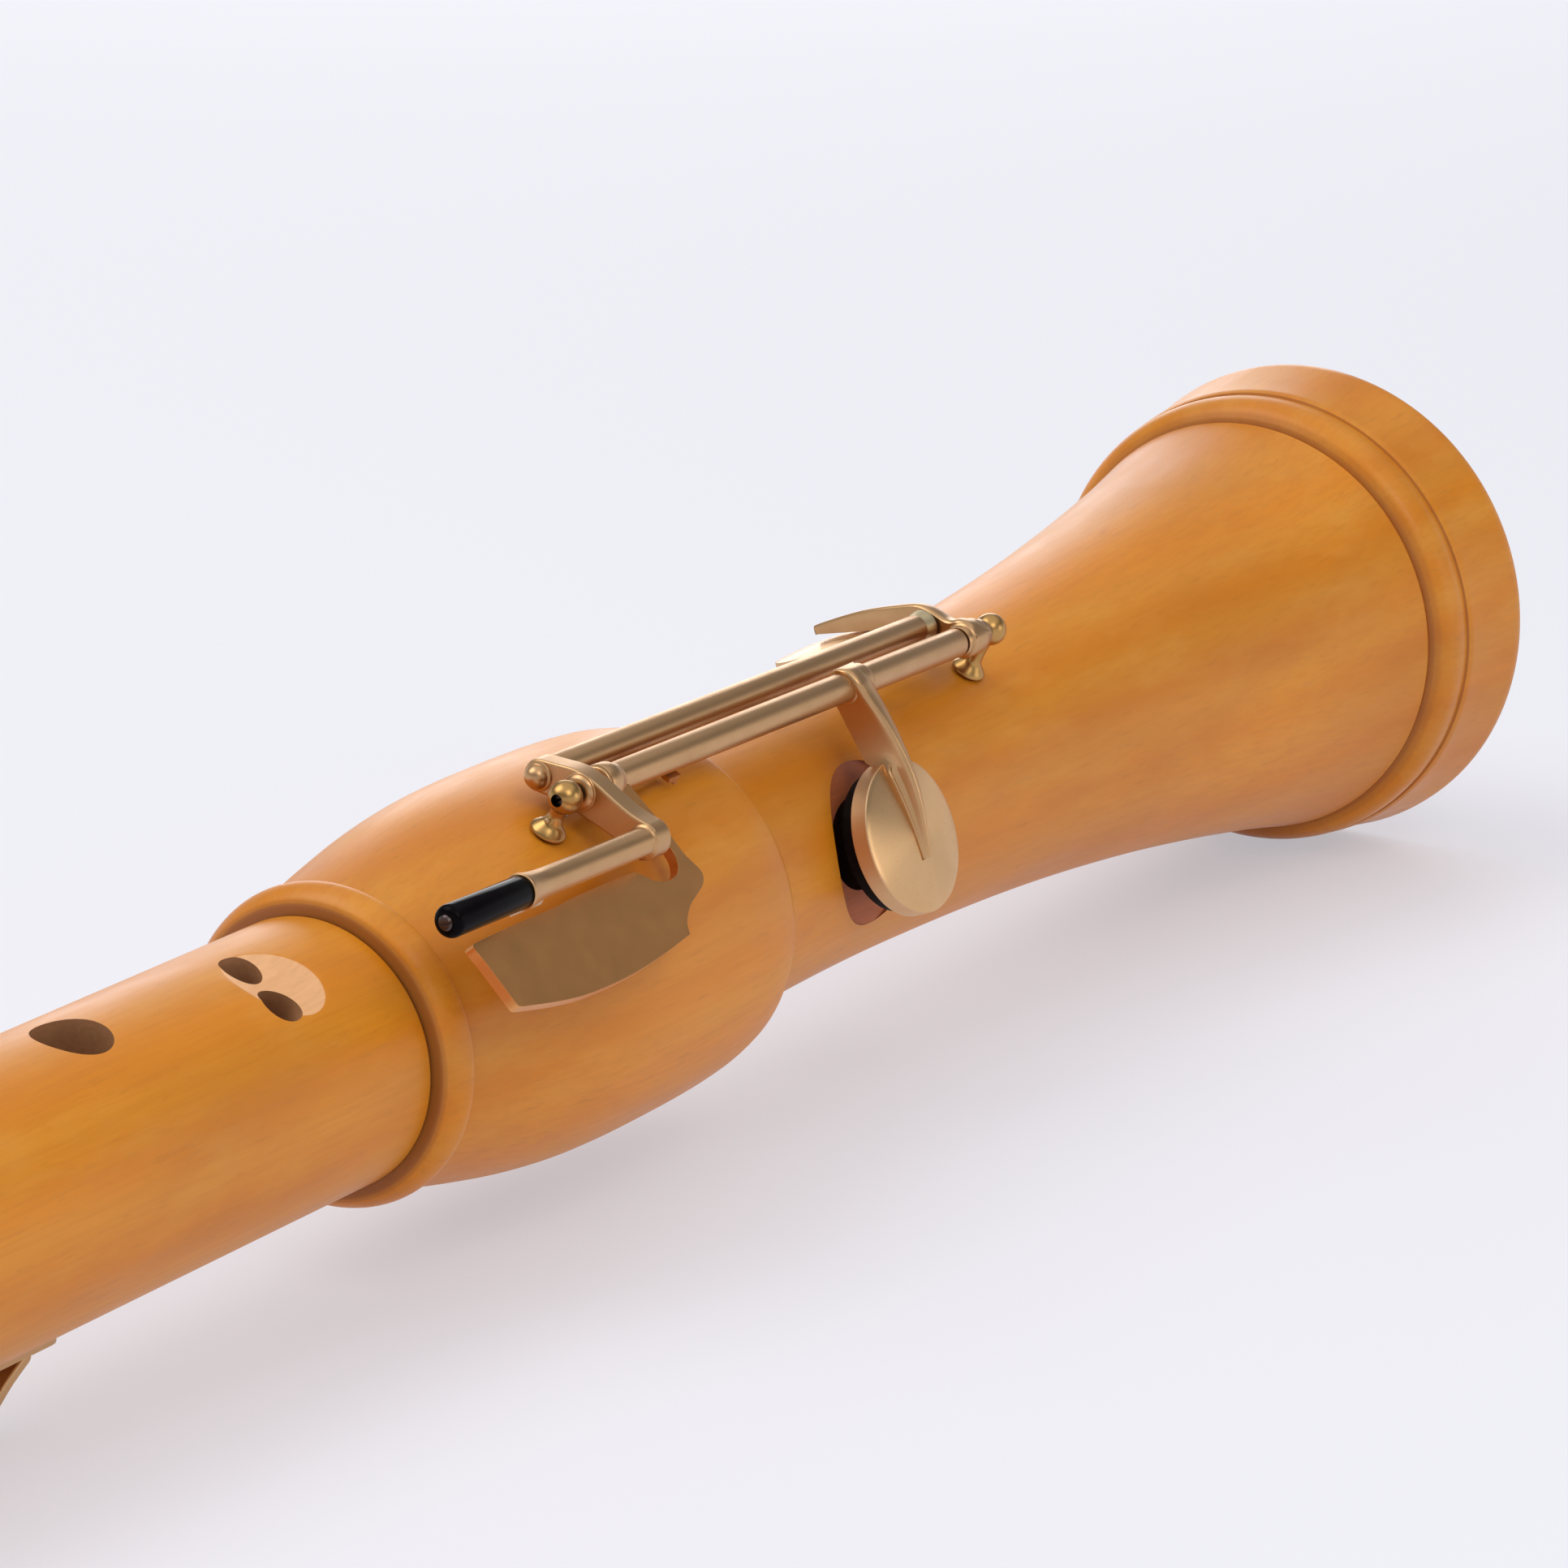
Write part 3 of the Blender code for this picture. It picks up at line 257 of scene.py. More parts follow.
def first_point(name, point):
    """A mesh of one selected point, in edit mode, ready to be extruded."""
    choose_nothing()
    bpy.ops.mesh.primitive_plane_add(size=2 * MM)
    obj = bpy.context.view_layer.objects.active
    obj.name = name
    obj.data.name = name
    bpy.ops.object.mode_set(mode="EDIT")
    bpy.ops.mesh.select_all(action="SELECT")
    bpy.ops.mesh.merge(type="CENTER")
    bpy.ops.transform.translate(value=point)
    return obj


def draw_line(points):
    """Extrude the selected point along the rest of a line."""
    for here, ahead in zip(points, points[1:]):
        bpy.ops.mesh.extrude_vertices_move(TRANSFORM_OT_translate={"value": ahead - here})


def fill_outline(points):
    """Close the outline that starts at the selected point and fill it with one selected face."""
    draw_line(points + points[:1])
    bpy.ops.mesh.select_all(action="SELECT")
    bpy.ops.mesh.remove_doubles(threshold=MERGE_DISTANCE)
    bpy.ops.mesh.edge_face_add()


def tidy_mesh():
    """Merge doubles and turn all faces outwards, then leave edit mode."""
    bpy.ops.mesh.select_all(action="SELECT")
    bpy.ops.mesh.remove_doubles(threshold=MERGE_DISTANCE)
    bpy.ops.mesh.normals_make_consistent(inside=False)
    bpy.ops.object.mode_set(mode="OBJECT")


def turned(name, outline, sides=64, closed=False, place=None):
    """Turn an outline of (height, radius) pairs round local Z, as on a lathe."""
    points = [Vector((radius, 0, height)) * MM for height, radius in outline]
    if closed:
        points.append(points[0])
    obj = first_point(name, points[0])
    draw_line(points)
    bpy.ops.mesh.select_all(action="SELECT")
    bpy.ops.mesh.spin(steps=sides, angle=FULL_TURN, center=(0, 0, 0), axis=(0, 0, 1))
    tidy_mesh()
    if place:
        put(obj, place)
    return obj


def cylinder(name, start, end, radius, sides, place):
    """A solid bar round local Z between two heights."""
    return turned(name, [(end, 0), (end, radius), (start, radius), (start, 0)], sides, place=place)


def plate(name, outline, thickness, place):
    """A flat outline in local XY with half its thickness on each side."""
    points = [Vector((x, y, -thickness / 2)) * MM for x, y in outline]
    obj = first_point(name, points[0])
    fill_outline(points)
    bpy.ops.mesh.extrude_region_move(TRANSFORM_OT_translate={"value": (0, 0, thickness * MM)})
    tidy_mesh()
    put(obj, place)
    return obj


def put(obj, place):
    """Move an object to its place and keep that place in its mesh."""
    obj.matrix_world = place @ obj.matrix_world
    choose(obj)
    bpy.ops.object.transform_apply(location=True, rotation=True, scale=True)


def apply(obj, modifier):
    """Apply a modifier to the mesh."""
    choose(obj)
    bpy.ops.object.modifier_apply(modifier=modifier.name)


def cut(obj, cutter, operation="DIFFERENCE"):
    """Cut an object with another, which leaves its own finish on the new faces."""
    change = obj.modifiers.new("Cut", "BOOLEAN")
    change.operation = operation
    change.solver = "EXACT"
    change.material_mode = "TRANSFER"
    change.object = cutter
    apply(obj, change)
    bpy.data.objects.remove(cutter)


def ease(obj, width, segments, angle=38):
    """Round the edges sharper than an angle, keeping the flat faces flat."""
    for face in obj.data.polygons:
        face.use_smooth = True
    bevel = obj.modifiers.new("Eased edges", "BEVEL")
    bevel.width = width
    bevel.segments = segments
    bevel.limit_method = "ANGLE"
    bevel.angle_limit = radians(angle)
    bevel.harden_normals = True
    apply(obj, bevel)


def smooth(obj, angle=SMOOTH_ANGLE):
    """Shade a piece smooth, with creases at the edges sharper than an angle."""
    choose(obj)
    bpy.ops.object.shade_smooth_by_angle(angle=radians(angle))


def paint(obj, *finishes):
    """Give a piece its finishes by their names, in place of what it had."""
    obj.data.materials.clear()
    for finish in finishes:
        obj.data.materials.append(FINISH[finish])


def join(name, *objects):
    """One piece from several solids that are soldered together."""
    choose(*objects)
    bpy.ops.object.join()
    whole = bpy.context.view_layer.objects.active
    whole.name = name
    whole.data.name = name
    return whole


def settle(obj, body, node, place=None, finish=None, angle=None):
    """Smooth, paint and place a piece where that is asked, then let it ride in place of its solid."""
    if angle:
        smooth(obj, angle)
    if finish:
        paint(obj, finish)
    if place:
        put(obj, place)
    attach(obj, body)
    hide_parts(node)


def smooth_curve(points, steps):
    """A smooth curve through the given points."""
    curve = []
    for i in range(len(points) - 1):
        before = Vector(points[max(i - 1, 0)])
        here = Vector(points[i])
        after = Vector(points[i + 1])
        beyond = Vector(points[min(i + 2, len(points) - 1)])
        for k in range(steps):
            t = k / steps
            value = ((2 * t ** 3 - 3 * t ** 2 + 1) * here + (t ** 3 - 2 * t ** 2 + t) * (after - before) / 2
                     + (3 * t ** 2 - 2 * t ** 3) * after + (t ** 3 - t ** 2) * (beyond - here) / 2)
            curve.append(tuple(value))
    curve.append(tuple(points[-1]))
    return curve


def arc(centre, radius, start, end, steps):
    """Points on an arc between two angles in degrees."""
    angles = [radians(start + (end - start) * i / steps) for i in range(steps + 1)]
    return [(centre[0] + radius * cos(a), centre[1] + radius * sin(a)) for a in angles]


def straight(start, end, step=2.2):
    """Evenly spaced (height, radius) points from start up to end, the end left out."""
    count = max(1, int(abs(end[0] - start[0]) / step))
    return [(start[0] + (end[0] - start[0]) * i / count, start[1] + (end[1] - start[1]) * i / count)
            for i in range(count)]


def bar_outline(path, widths, end_steps):
    """The outline of a bar with round ends that follows a path, with half its width at each point."""
    points = [Vector(p) for p in path]
    left = []
    right = []
    for i, point in enumerate(points):
        ahead = points[min(i + 1, len(points) - 1)] - points[max(i - 1, 0)]
        side = Vector((-ahead.y, ahead.x)).normalized() * widths[i]
        left.append(tuple(point + side))
        right.append(tuple(point - side))
    ends = []
    for point, inner, width in ((points[-1], points[-2], widths[-1]), (points[0], points[1], widths[0])):
        out = atan2(point.y - inner.y, point.x - inner.x) * 180 / pi
        ends.append(arc(point, width, out + 90, out - 90, end_steps)[1:-1])
    return left + ends[0] + right[::-1] + ends[1]


def rounded_rod(start, end, radius, edge, inner=0.0):
    """The outline of a rod or tube whose ends are eased."""
    outer = arc((end - edge, radius - edge), edge, 0, 90, 4)
    outer += arc((start + edge, radius - edge), edge, 90, 180, 4)
    if inner:
        return outer + [(start, inner), (end, inner)]
    return [(end, 0.0)] + outer + [(start, 0.0)]


def new_material(name):
    """A material with its node tree and its shader."""
    material = bpy.data.materials.new(name)
    material.use_nodes = True
    tree = material.node_tree
    return material, tree, tree.nodes["Principled BSDF"]


def feed(tree, node, inputs):
    """Give a node's inputs their values, or link them to the sockets that feed them."""
    for name, value in inputs.items():
        if isinstance(value, bpy.types.NodeSocket):
            tree.links.new(value, node.inputs[name])
        else:
            node.inputs[name].default_value = value


def add_node(tree, kind, inputs=None, **settings):
    """A node with its settings and inputs."""
    node = tree.nodes.new(kind)
    for name, value in settings.items():
        setattr(node, name, value)
    feed(tree, node, inputs or {})
    return node


def object_coordinates(tree, stretch=(1, 1, 1)):
    """Coordinates along the bore, in metres, stretched by axis."""
    source = add_node(tree, "ShaderNodeTexCoord")
    level = add_node(tree, "ShaderNodeMapping", {
        "Vector": source.outputs["Object"], "Location": INSTRUMENT.inverted().translation,
        "Rotation": (0, LEAN, 0)})
    scaled = add_node(tree, "ShaderNodeMapping", {"Vector": level.outputs["Vector"], "Scale": stretch})
    return scaled.outputs["Vector"], source


def noise(tree, vector, scale, detail, roughness, distortion=0.0):
    """The value of a noise pattern."""
    texture = add_node(tree, "ShaderNodeTexNoise", {
        "Vector": vector, "Scale": scale, "Detail": detail, "Roughness": roughness,
        "Distortion": distortion})
    return texture.outputs["Fac"]


def remap(tree, value, low, high, to_low=0.0, to_high=1.0):
    """A value between two limits, spread between two others."""
    node = add_node(tree, "ShaderNodeMapRange", {
        "Value": value, "From Min": low, "From Max": high, "To Min": to_low, "To Max": to_high})
    return node.outputs["Result"]


def blend_colours(tree, factor, *colours):
    """Mix two colours, each a socket or a value, by the value of a socket."""
    first, second = (colour if isinstance(colour, bpy.types.NodeSocket) else (*colour, 1.0)
                     for colour in colours)
    node = add_node(tree, "ShaderNodeMix", {0: factor, 6: first, 7: second}, data_type="RGBA",
                    clamp_factor=True)
    return node.outputs[2]


def add_bump(tree, shader, height, strength, distance):
    """Relief by a height value."""
    bump = add_node(tree, "ShaderNodeBump", {"Height": height, "Strength": strength, "Distance": distance})
    feed(tree, shader, {"Normal": bump.outputs["Normal"]})


def wood_finish(colours):
    """Oiled and stained fruitwood: soft bands, fine lengthwise grain, small flecks, dark end grain."""
    material, tree, shader = new_material("oiled_wood")
    figure_space, source = object_coordinates(tree, (0.30, 1.0, 1.0))
    grain_space, _ = object_coordinates(tree, (0.035, 1.0, 1.0))
    fleck_space, _ = object_coordinates(tree, (0.16, 1.0, 1.0))
    cloud = noise(tree, figure_space, 55, 4, 0.55, 0.4)
    tilted = add_node(tree, "ShaderNodeMapping", {"Vector": figure_space, "Rotation": (radians(24), 0, 0)})
    rings = add_node(tree, "ShaderNodeTexWave", {
        "Vector": tilted.outputs["Vector"], "Scale": 34, "Distortion": 5.0, "Detail": 3.0,
        "Detail Scale": 0.6}, wave_type="BANDS", bands_direction="Z")
    grain = noise(tree, grain_space, 1500, 3, 0.6)
    fleck = noise(tree, fleck_space, 1300, 2, 0.5)
    mottle = noise(tree, figure_space, 190, 3, 0.6)

    colour = blend_colours(tree, remap(tree, cloud, 0.34, 0.68), colours.wood, colours.wood_streak)
    ring_mix = remap(tree, rings.outputs["Fac"], 0.0, 1.0, 0.0, 0.22)
    colour = blend_colours(tree, ring_mix, colour, (0.74, 0.36, 0.05))
    colour = blend_colours(tree, remap(tree, grain, 0.42, 0.70, 0.0, 0.34), colour, colours.wood_streak)
    colour = blend_colours(tree, remap(tree, fleck, 0.60, 0.78, 0.0, 0.25), colour, (0.40, 0.14, 0.01))
    colour = blend_colours(tree, remap(tree, mottle, 0.50, 0.72, 0.0, 0.20), colour, (0.76, 0.40, 0.08))

    along_bore = (cos(LEAN), 0, sin(LEAN))
    facing = add_node(tree, "ShaderNodeVectorMath", {0: source.outputs["Normal"], 1: along_bore},
                      operation="DOT_PRODUCT")
    absolute = add_node(tree, "ShaderNodeMath", {0: facing.outputs["Value"]}, operation="ABSOLUTE")
    end_grain = remap(tree, absolute.outputs["Value"], 0.80, 0.99, 0.0, 0.85)
    colour = blend_colours(tree, end_grain, colour, (0.30, 0.10, 0.02))
    feed(tree, shader, {"Base Color": colour, "Roughness": remap(tree, mottle, 0.3, 0.7, 0.35, 0.45),
                        "Specular IOR Level": 0.38})
    add_bump(tree, shader, grain, 0.10, 0.0002)
    return material


def raw_wood_finish(name, colour, dark, roughness):
    """Bare cut wood, paler or browner than the oiled surface, with open grain; made near black, it is painted
    shade inside a hole.
    """
    material, tree, shader = new_material(name)
    grain_space, _ = object_coordinates(tree, (0.08, 1.0, 1.0))
    grain = noise(tree, grain_space, 1400, 4, 0.6)
    cloud_space, _ = object_coordinates(tree, (0.5, 1.0, 1.0))
    cloud = noise(tree, cloud_space, 260, 3, 0.6)
    tone = blend_colours(tree, remap(tree, grain, 0.38, 0.72, 0.0, 0.6), colour, dark)
    tone = blend_colours(tree, remap(tree, cloud, 0.40, 0.75, 0.0, 0.4), tone, dark)
    feed(tree, shader, {"Base Color": tone, "Roughness": roughness})
    add_bump(tree, shader, grain, 0.3, 0.0002)
    return material


def metal_finish(name, colour, roughness, tarnish, patchy=0.08, turned_face=False):
    """Metal with slight patches and a fine relief, or with a shine across the turning of a turned face."""
    material, tree, shader = new_material(name)
    space, _ = object_coordinates(tree)
    patches = noise(tree, space, 220, 4, 0.6)
    tone = blend_colours(tree, remap(tree, patches, 0.35, 0.75, 0.0, 0.5), colour, tarnish)
    rough = remap(tree, patches, 0.3, 0.7, roughness - patchy / 2, roughness + patchy / 2)
    feed(tree, shader, {"Base Color": tone, "Metallic": 1.0, "Roughness": rough})
    if turned_face:
        tangent = add_node(tree, "ShaderNodeTangent", direction_type="UV_MAP", uv_map=LATHE_MAP)
        feed(tree, shader, {"Tangent": tangent.outputs["Tangent"], "Anisotropic": 0.75})
    else:
        add_bump(tree, shader, noise(tree, space, 5200, 2, 0.6), 0.06, 0.00003)
    return material


def plain_finish(name, colour, second, roughness, scale, bump, specular=0.5):
    """Plastic, leather, cork or felt: two close tones in a fine pattern with a little relief."""
    material, tree, shader = new_material(name)
    space, _ = object_coordinates(tree)
    pattern = noise(tree, space, scale, 4, 0.6)
    tone = blend_colours(tree, remap(tree, pattern, 0.35, 0.7), colour, second)
    rough = remap(tree, pattern, 0.3, 0.7, roughness * 0.9, min(roughness * 1.15, 1.0))
    feed(tree, shader, {"Base Color": tone, "Roughness": rough, "Specular IOR Level": specular})
    add_bump(tree, shader, pattern, bump, 0.0002)
    return material


def floor_finish(colour):
    """A pale floor that keeps part of its white in the camera's view and in the metal, under the shadow."""
    material, tree, shader = new_material("pale_floor")
    feed(tree, shader, {"Base Color": (*colour, 1), "Roughness": 0.9, "Specular IOR Level": 0.1})
    white = add_node(tree, "ShaderNodeEmission", {"Color": (0.92, 0.93, 0.99, 1), "Strength": 1.0})
    rays = add_node(tree, "ShaderNodeLightPath")
    seen = add_node(tree, "ShaderNodeMath", {
        0: rays.outputs["Is Camera Ray"], 1: rays.outputs["Is Glossy Ray"]}, operation="MAXIMUM")
    share = remap(tree, seen.outputs["Value"], 0.0, 1.0, 0.0, 0.44)
    mixed = add_node(tree, "ShaderNodeMixShader", {
        0: share, 1: shader.outputs["BSDF"], 2: white.outputs["Emission"]})
    feed(tree, tree.nodes["Material Output"], {"Surface": mixed.outputs["Shader"]})
    return material


def lathe_map(obj, radius):
    """A map that runs outwards from local Z, so that a turned face shines across its turning marks."""
    layer = obj.data.uv_layers.new(name=LATHE_MAP)
    for face in obj.data.polygons:
        middle = atan2(face.center.y, face.center.x)
        for index in face.loop_indices:
            point = obj.data.vertices[obj.data.loops[index].vertex_index].co
            angle = atan2(point.y, point.x) if point.xy.length > 0.00001 else middle
            angle += FULL_TURN * round((middle - angle) / FULL_TURN)
            layer.data[index].uv = (point.xy.length / (radius * MM), angle / FULL_TURN)


class RECORDER_OT_finishes(bpy.types.Operator):
    """Make the finishes of all pieces"""
    bl_idname = "recorder.finishes"
    bl_label = "Finishes"

    def execute(self, context):
        colours = context.scene.recorder_colours
        FINISH["wood"] = wood_finish(colours)
        FINISH["floor"] = floor_finish(colours.floor)
        for finish, *settings in (
                ("raw", "raw_wood_cut", colours.raw_wood, (0.33, 0.15, 0.06), 0.62),
                ("dish", "raw_wood_dish", (0.90, 0.48, 0.22), (0.74, 0.36, 0.15), 0.6),
                ("seat", "raw_wood_seat", (0.62, 0.16, 0.045), (0.44, 0.11, 0.035), 0.6),
                # The tone hole's wall is painted near black: painted shade inside the deep hole, not the
                # colour of the wood
                ("shade", "tone_hole_painted_shade", (0.08, 0.03, 0.012), (0.05, 0.02, 0.01), 0.7),
                ("block", "cedar_block", (0.42, 0.19, 0.09), (0.30, 0.12, 0.05), 0.6)):
            FINISH[finish] = raw_wood_finish(*settings)
        for finish, *settings in (
                ("bronze", "satin_bronze", colours.bronze, 0.36, (0.49, 0.283, 0.132)),
                ("plate", "rubbed_bronze", (0.80, 0.385, 0.13), 0.33, (0.68, 0.32, 0.11)),
                ("cup", "turned_bronze", (0.70, 0.43, 0.21), 0.28, (0.65, 0.39, 0.18), 0.06, True),
                ("wall", "cup_wall", (0.74, 0.50, 0.28), 0.52, (0.74, 0.43, 0.21)),
                ("post", "polished_brass", colours.post_brass, 0.30, (0.40, 0.23, 0.07)),
                ("solder", "solder", (0.62, 0.50, 0.30), 0.42, (0.40, 0.31, 0.18)),
                ("steel", "blued_steel", (0.32, 0.31, 0.30), 0.30, (0.20, 0.18, 0.17)),
                # Dark screw metal for the hinge rod and roller screw, also laid on the posts' bore walls as
                # painted shade inside the holes
                ("screw", "dark_screw_and_hole_shade", (0.10, 0.075, 0.07), 0.34, (0.05, 0.035, 0.03))):
            FINISH[finish] = metal_finish(*settings)
        for finish, *settings in (
                ("black", "black_resin", (0.003, 0.002, 0.003), (0.005, 0.004, 0.004), 0.14, 300, 0.01, 0.03),
                ("pad", "pad_skin", (0.006, 0.004, 0.004), (0.012, 0.008, 0.006), 0.6, 900, 0.25, 0.06),
                ("cork", "cork", (0.47, 0.27, 0.12), (0.27, 0.13, 0.05), 0.85, 700, 0.6),
                ("felt", "bumper_cork", (0.86, 0.70, 0.50), (0.72, 0.52, 0.32), 0.9, 1500, 0.5)):
            FINISH[finish] = plain_finish(*settings)
        return {"FINISHED"}


def radial_cutter(station, angle, start, end, radius, finish, sides=48):
    """A round cutter that runs outwards from the bore axis, with its own finish."""
    obj = cylinder("radial_cutter", start, end, radius, sides, at_station(station, angle))
    paint(obj, finish)
    return obj


def seat_height(pad):
    """How high a pad's flat seat lies over the bore's axis."""
    return sqrt(pad["neck"] ** 2 - pad["seat"] ** 2)


def pad_place(pad, opening):
    """The middle of a cup's rim plane, at rest or turned about the hinge."""
    rise = seat_height(pad) + GAP + PAD_DROP + CUP_HEIGHT
    closed = INSTRUMENT @ at_station(pad["station"], pad["angle"]) @ shift(0, 0, rise)
    return HINGE @ turn(-opening, "X") @ HINGE.inverted() @ closed


class RECORDER_OT_foot_joint(bpy.types.Operator):
    """Turn the foot joint, then cut its pad seats, tone holes and post holes"""
    bl_idname = "recorder.foot_joint"
    bl_label = "Foot Joint"

    def execute(self, context):
        sizes = context.scene.recorder_sizes
        barrel = sizes.barrel_radius / MM
        rim = sizes.rim_radius / MM
        bead = smooth_curve([(0.05, 17.75), (0.5, 18.5), (1.5, 19.2), (2.8, 19.6), (3.8, 19.58),
                             (4.35, 19.25), (4.5, 18.75)], 4)
        body = smooth_curve([(4.75, 18.32), (9.5, 19.4), (17.0, 20.95), (25.0, 22.35), (33.0, 23.25),
                             (41.0, barrel), (50.0, barrel), (58.5, 23.42), (65.5, 22.95),
                             (69.6, 22.25)], 4)
        step = smooth_curve([(70.5, 21.8), (71.0, 21.0), (71.3, 20.0), (72.0, 19.0), (74.0, 18.45)], 3)
        neck = smooth_curve([(78.0, 18.1), (86.0, 17.72), (97.0, 17.52), (108.0, 17.52), (120.0, 17.78),
                             (132.0, 18.18), (144.0, 18.76), (156.0, 19.57), (168.0, 20.62), (180.0, 21.88),
                             (192.0, 23.42), (204.0, 25.2), (216.0, 27.2), (226.2, 29.25)], 6)
        moulding = [(226.5, 28.85), (226.8, 28.7), (227.1, 28.85)]
        moulding += smooth_curve([(227.3, 29.6), (228.2, 31.0), (229.6, 31.85), (231.2, 32.1),
                                  (232.6, 31.95)], 4)
        moulding += [(232.85, 31.8), (233.05, 31.85), (233.2, 32.2)]
        band = smooth_curve([(233.7, 32.45), (237.0, 32.7), (241.0, 33.2), (245.0, rim)], 4)
        edge = smooth_curve([(245.9, rim - 0.05), (246.6, rim - 0.35), (247.05, rim - 0.8),
                             (247.2, rim - 1.3)], 3)
        outer = [(0.0, 14.9), (0.0, 17.3)] + bead + body + step + neck + moulding + band + edge
        hollow = smooth_curve([(247.2, 21.7), (246.7, 21.1), (242.0, 17.3), (236.0, 14.0), (227.0, 11.2),
                               (214.0, 8.9), (200.0, 7.8)], 4)
        socket = [(26.6, 8.3), (26.6, 14.4), (0.4, 14.4)]
        foot = turned("foot_joint_turned", outer + hollow + socket, 128, closed=True, place=ALONG)
        paint(foot, "wood")
        for pad in (NEAR_PAD, FAR_PAD):
            flat = seat_height(pad)
            station, angle = pad["station"], pad["angle"]
            cut(foot, radial_cutter(station, angle, flat, 26, pad["seat"], "seat", 96))
            # The tone hole's wall gets the near-black finish, painted shade inside the hole
            cut(foot, radial_cutter(station, angle, 4, flat + 2, pad["hole"], "shade"))
        for station, surface in ((FRONT_POST, FRONT_POST_SURFACE), (REAR_POST, REAR_POST_SURFACE)):
            cut(foot, radial_cutter(station, HINGE_ANGLE, surface - SHANK_HOLE_DEPTH, surface + 4,
                                    SHANK_HOLE_RADIUS, "raw", 32))
        settle(foot, "foot", "foot_joint", INSTRUMENT, angle=SMOOTH_ANGLE)
        return {"FINISHED"}


class RECORDER_OT_middle_joint(bpy.types.Operator):
    """Turn the middle joint, drill the finger holes and dish the wood round the double hole"""
    bl_idname = "recorder.middle_joint"
    bl_label = "Middle Joint"

    def execute(self, context):
        top = HEAD_LINE - 22.0
        upper, lower, recess = UPPER_TENON, LOWER_TENON, CORK_RECESS
        outer = [(top, upper - 0.6), (top + 0.6, upper), (top + 5, upper), (top + 5, upper - recess),
                 (HEAD_LINE - 5, upper - recess), (HEAD_LINE - 5, upper), (HEAD_LINE + GAP, upper),
                 (HEAD_LINE + GAP, 16.8)]
        outer += arc((HEAD_LINE + GAP + 0.5, 16.8), 0.5, 180, 90, 4)
        outer += straight((HEAD_LINE + 2.0, 17.28), (-180.0, 16.8))
        outer += straight((-180.0, 16.8), (-90.0, MIDDLE_RADIUS))
        outer += straight((-90.0, MIDDLE_RADIUS), (-0.9, MIDDLE_RADIUS), 1.6)
        outer += arc((-0.7, MIDDLE_RADIUS - 0.4), 0.4, 90, 0, 4)
        outer += [(-GAP, lower), (6.0, lower), (6.0, lower - recess), (20.0, lower - recess), (20.0, lower),
                  (25.4, lower), (26.0, lower - 0.6)]
        bore = straight((26.0, 8.4), (top, 11.2), 8) + [(top, 11.2)]
        middle = turned("middle_joint_turned", outer + bore, 128, closed=True, place=ALONG)
        paint(middle, "wood")
        rise = MIDDLE_RADIUS - DISH["depth"] + DISH["radius"]
        dish = cylinder("dish_cutter", -9, 9, DISH["radius"], 160, at_station(DISH["station"], DISH["angle"])
                        @ shift(0, 0, rise) @ turn(8, "Z") @ turn(90, "X"))
        paint(dish, "dish")
        cut(middle, dish)
        for station, angle, diameter in FINGER_HOLES.values():
            cut(middle, radial_cutter(station, angle, 4, 22, diameter / 2, "raw"))
        station, angle = THUMB_REST
        for offset in REST_SCREWS.values():
            cut(middle, radial_cutter(station + offset, angle, 11, 24, REST_HOLE, "raw", 24))
        settle(middle, "middle", "middle_joint", INSTRUMENT, angle=SMOOTH_ANGLE)
        return {"FINISHED"}


def block(name, size, centre=(0, 0, 0)):
    """A rectangular block, level with the axes."""
    choose_nothing()
    bpy.ops.mesh.primitive_cube_add(size=1.0)
    obj = bpy.context.view_layer.objects.active
    obj.name = name
    put(obj, shift(*centre) @ Matrix.Diagonal((*(Vector(size) * MM), 1.0)))
    return obj


def beak_hollow():
    """A cutter for the hollow under the beak."""
    sweep = smooth_curve([(HEAD_TOP, 3.0), (HEAD_TOP + 14, -0.8), (HEAD_TOP + 30, -6.6),
                          (HEAD_TOP + 46, -13.6), (HEAD_TOP + 58, -21.9)], 8)
    below = [(HEAD_TOP + 58, -22.5), (HEAD_TOP - 4, -22.5), (HEAD_TOP - 4, 3.4)]
    return plate("beak_hollow", below + sweep, 60, turn(90, "X"))


def lip_slope():
    """A cutter for the slope on top of the beak's tip."""
    slope = [(HEAD_TOP - 4, 24.0), (HEAD_TOP - 4, 15.2), (HEAD_TOP, 15.6), (HEAD_TOP + 12, 17.6),
             (HEAD_TOP + 30, 20.6), (HEAD_TOP + 30, 24.0)]
    return plate("lip_slope", slope, 60, turn(90, "X"))


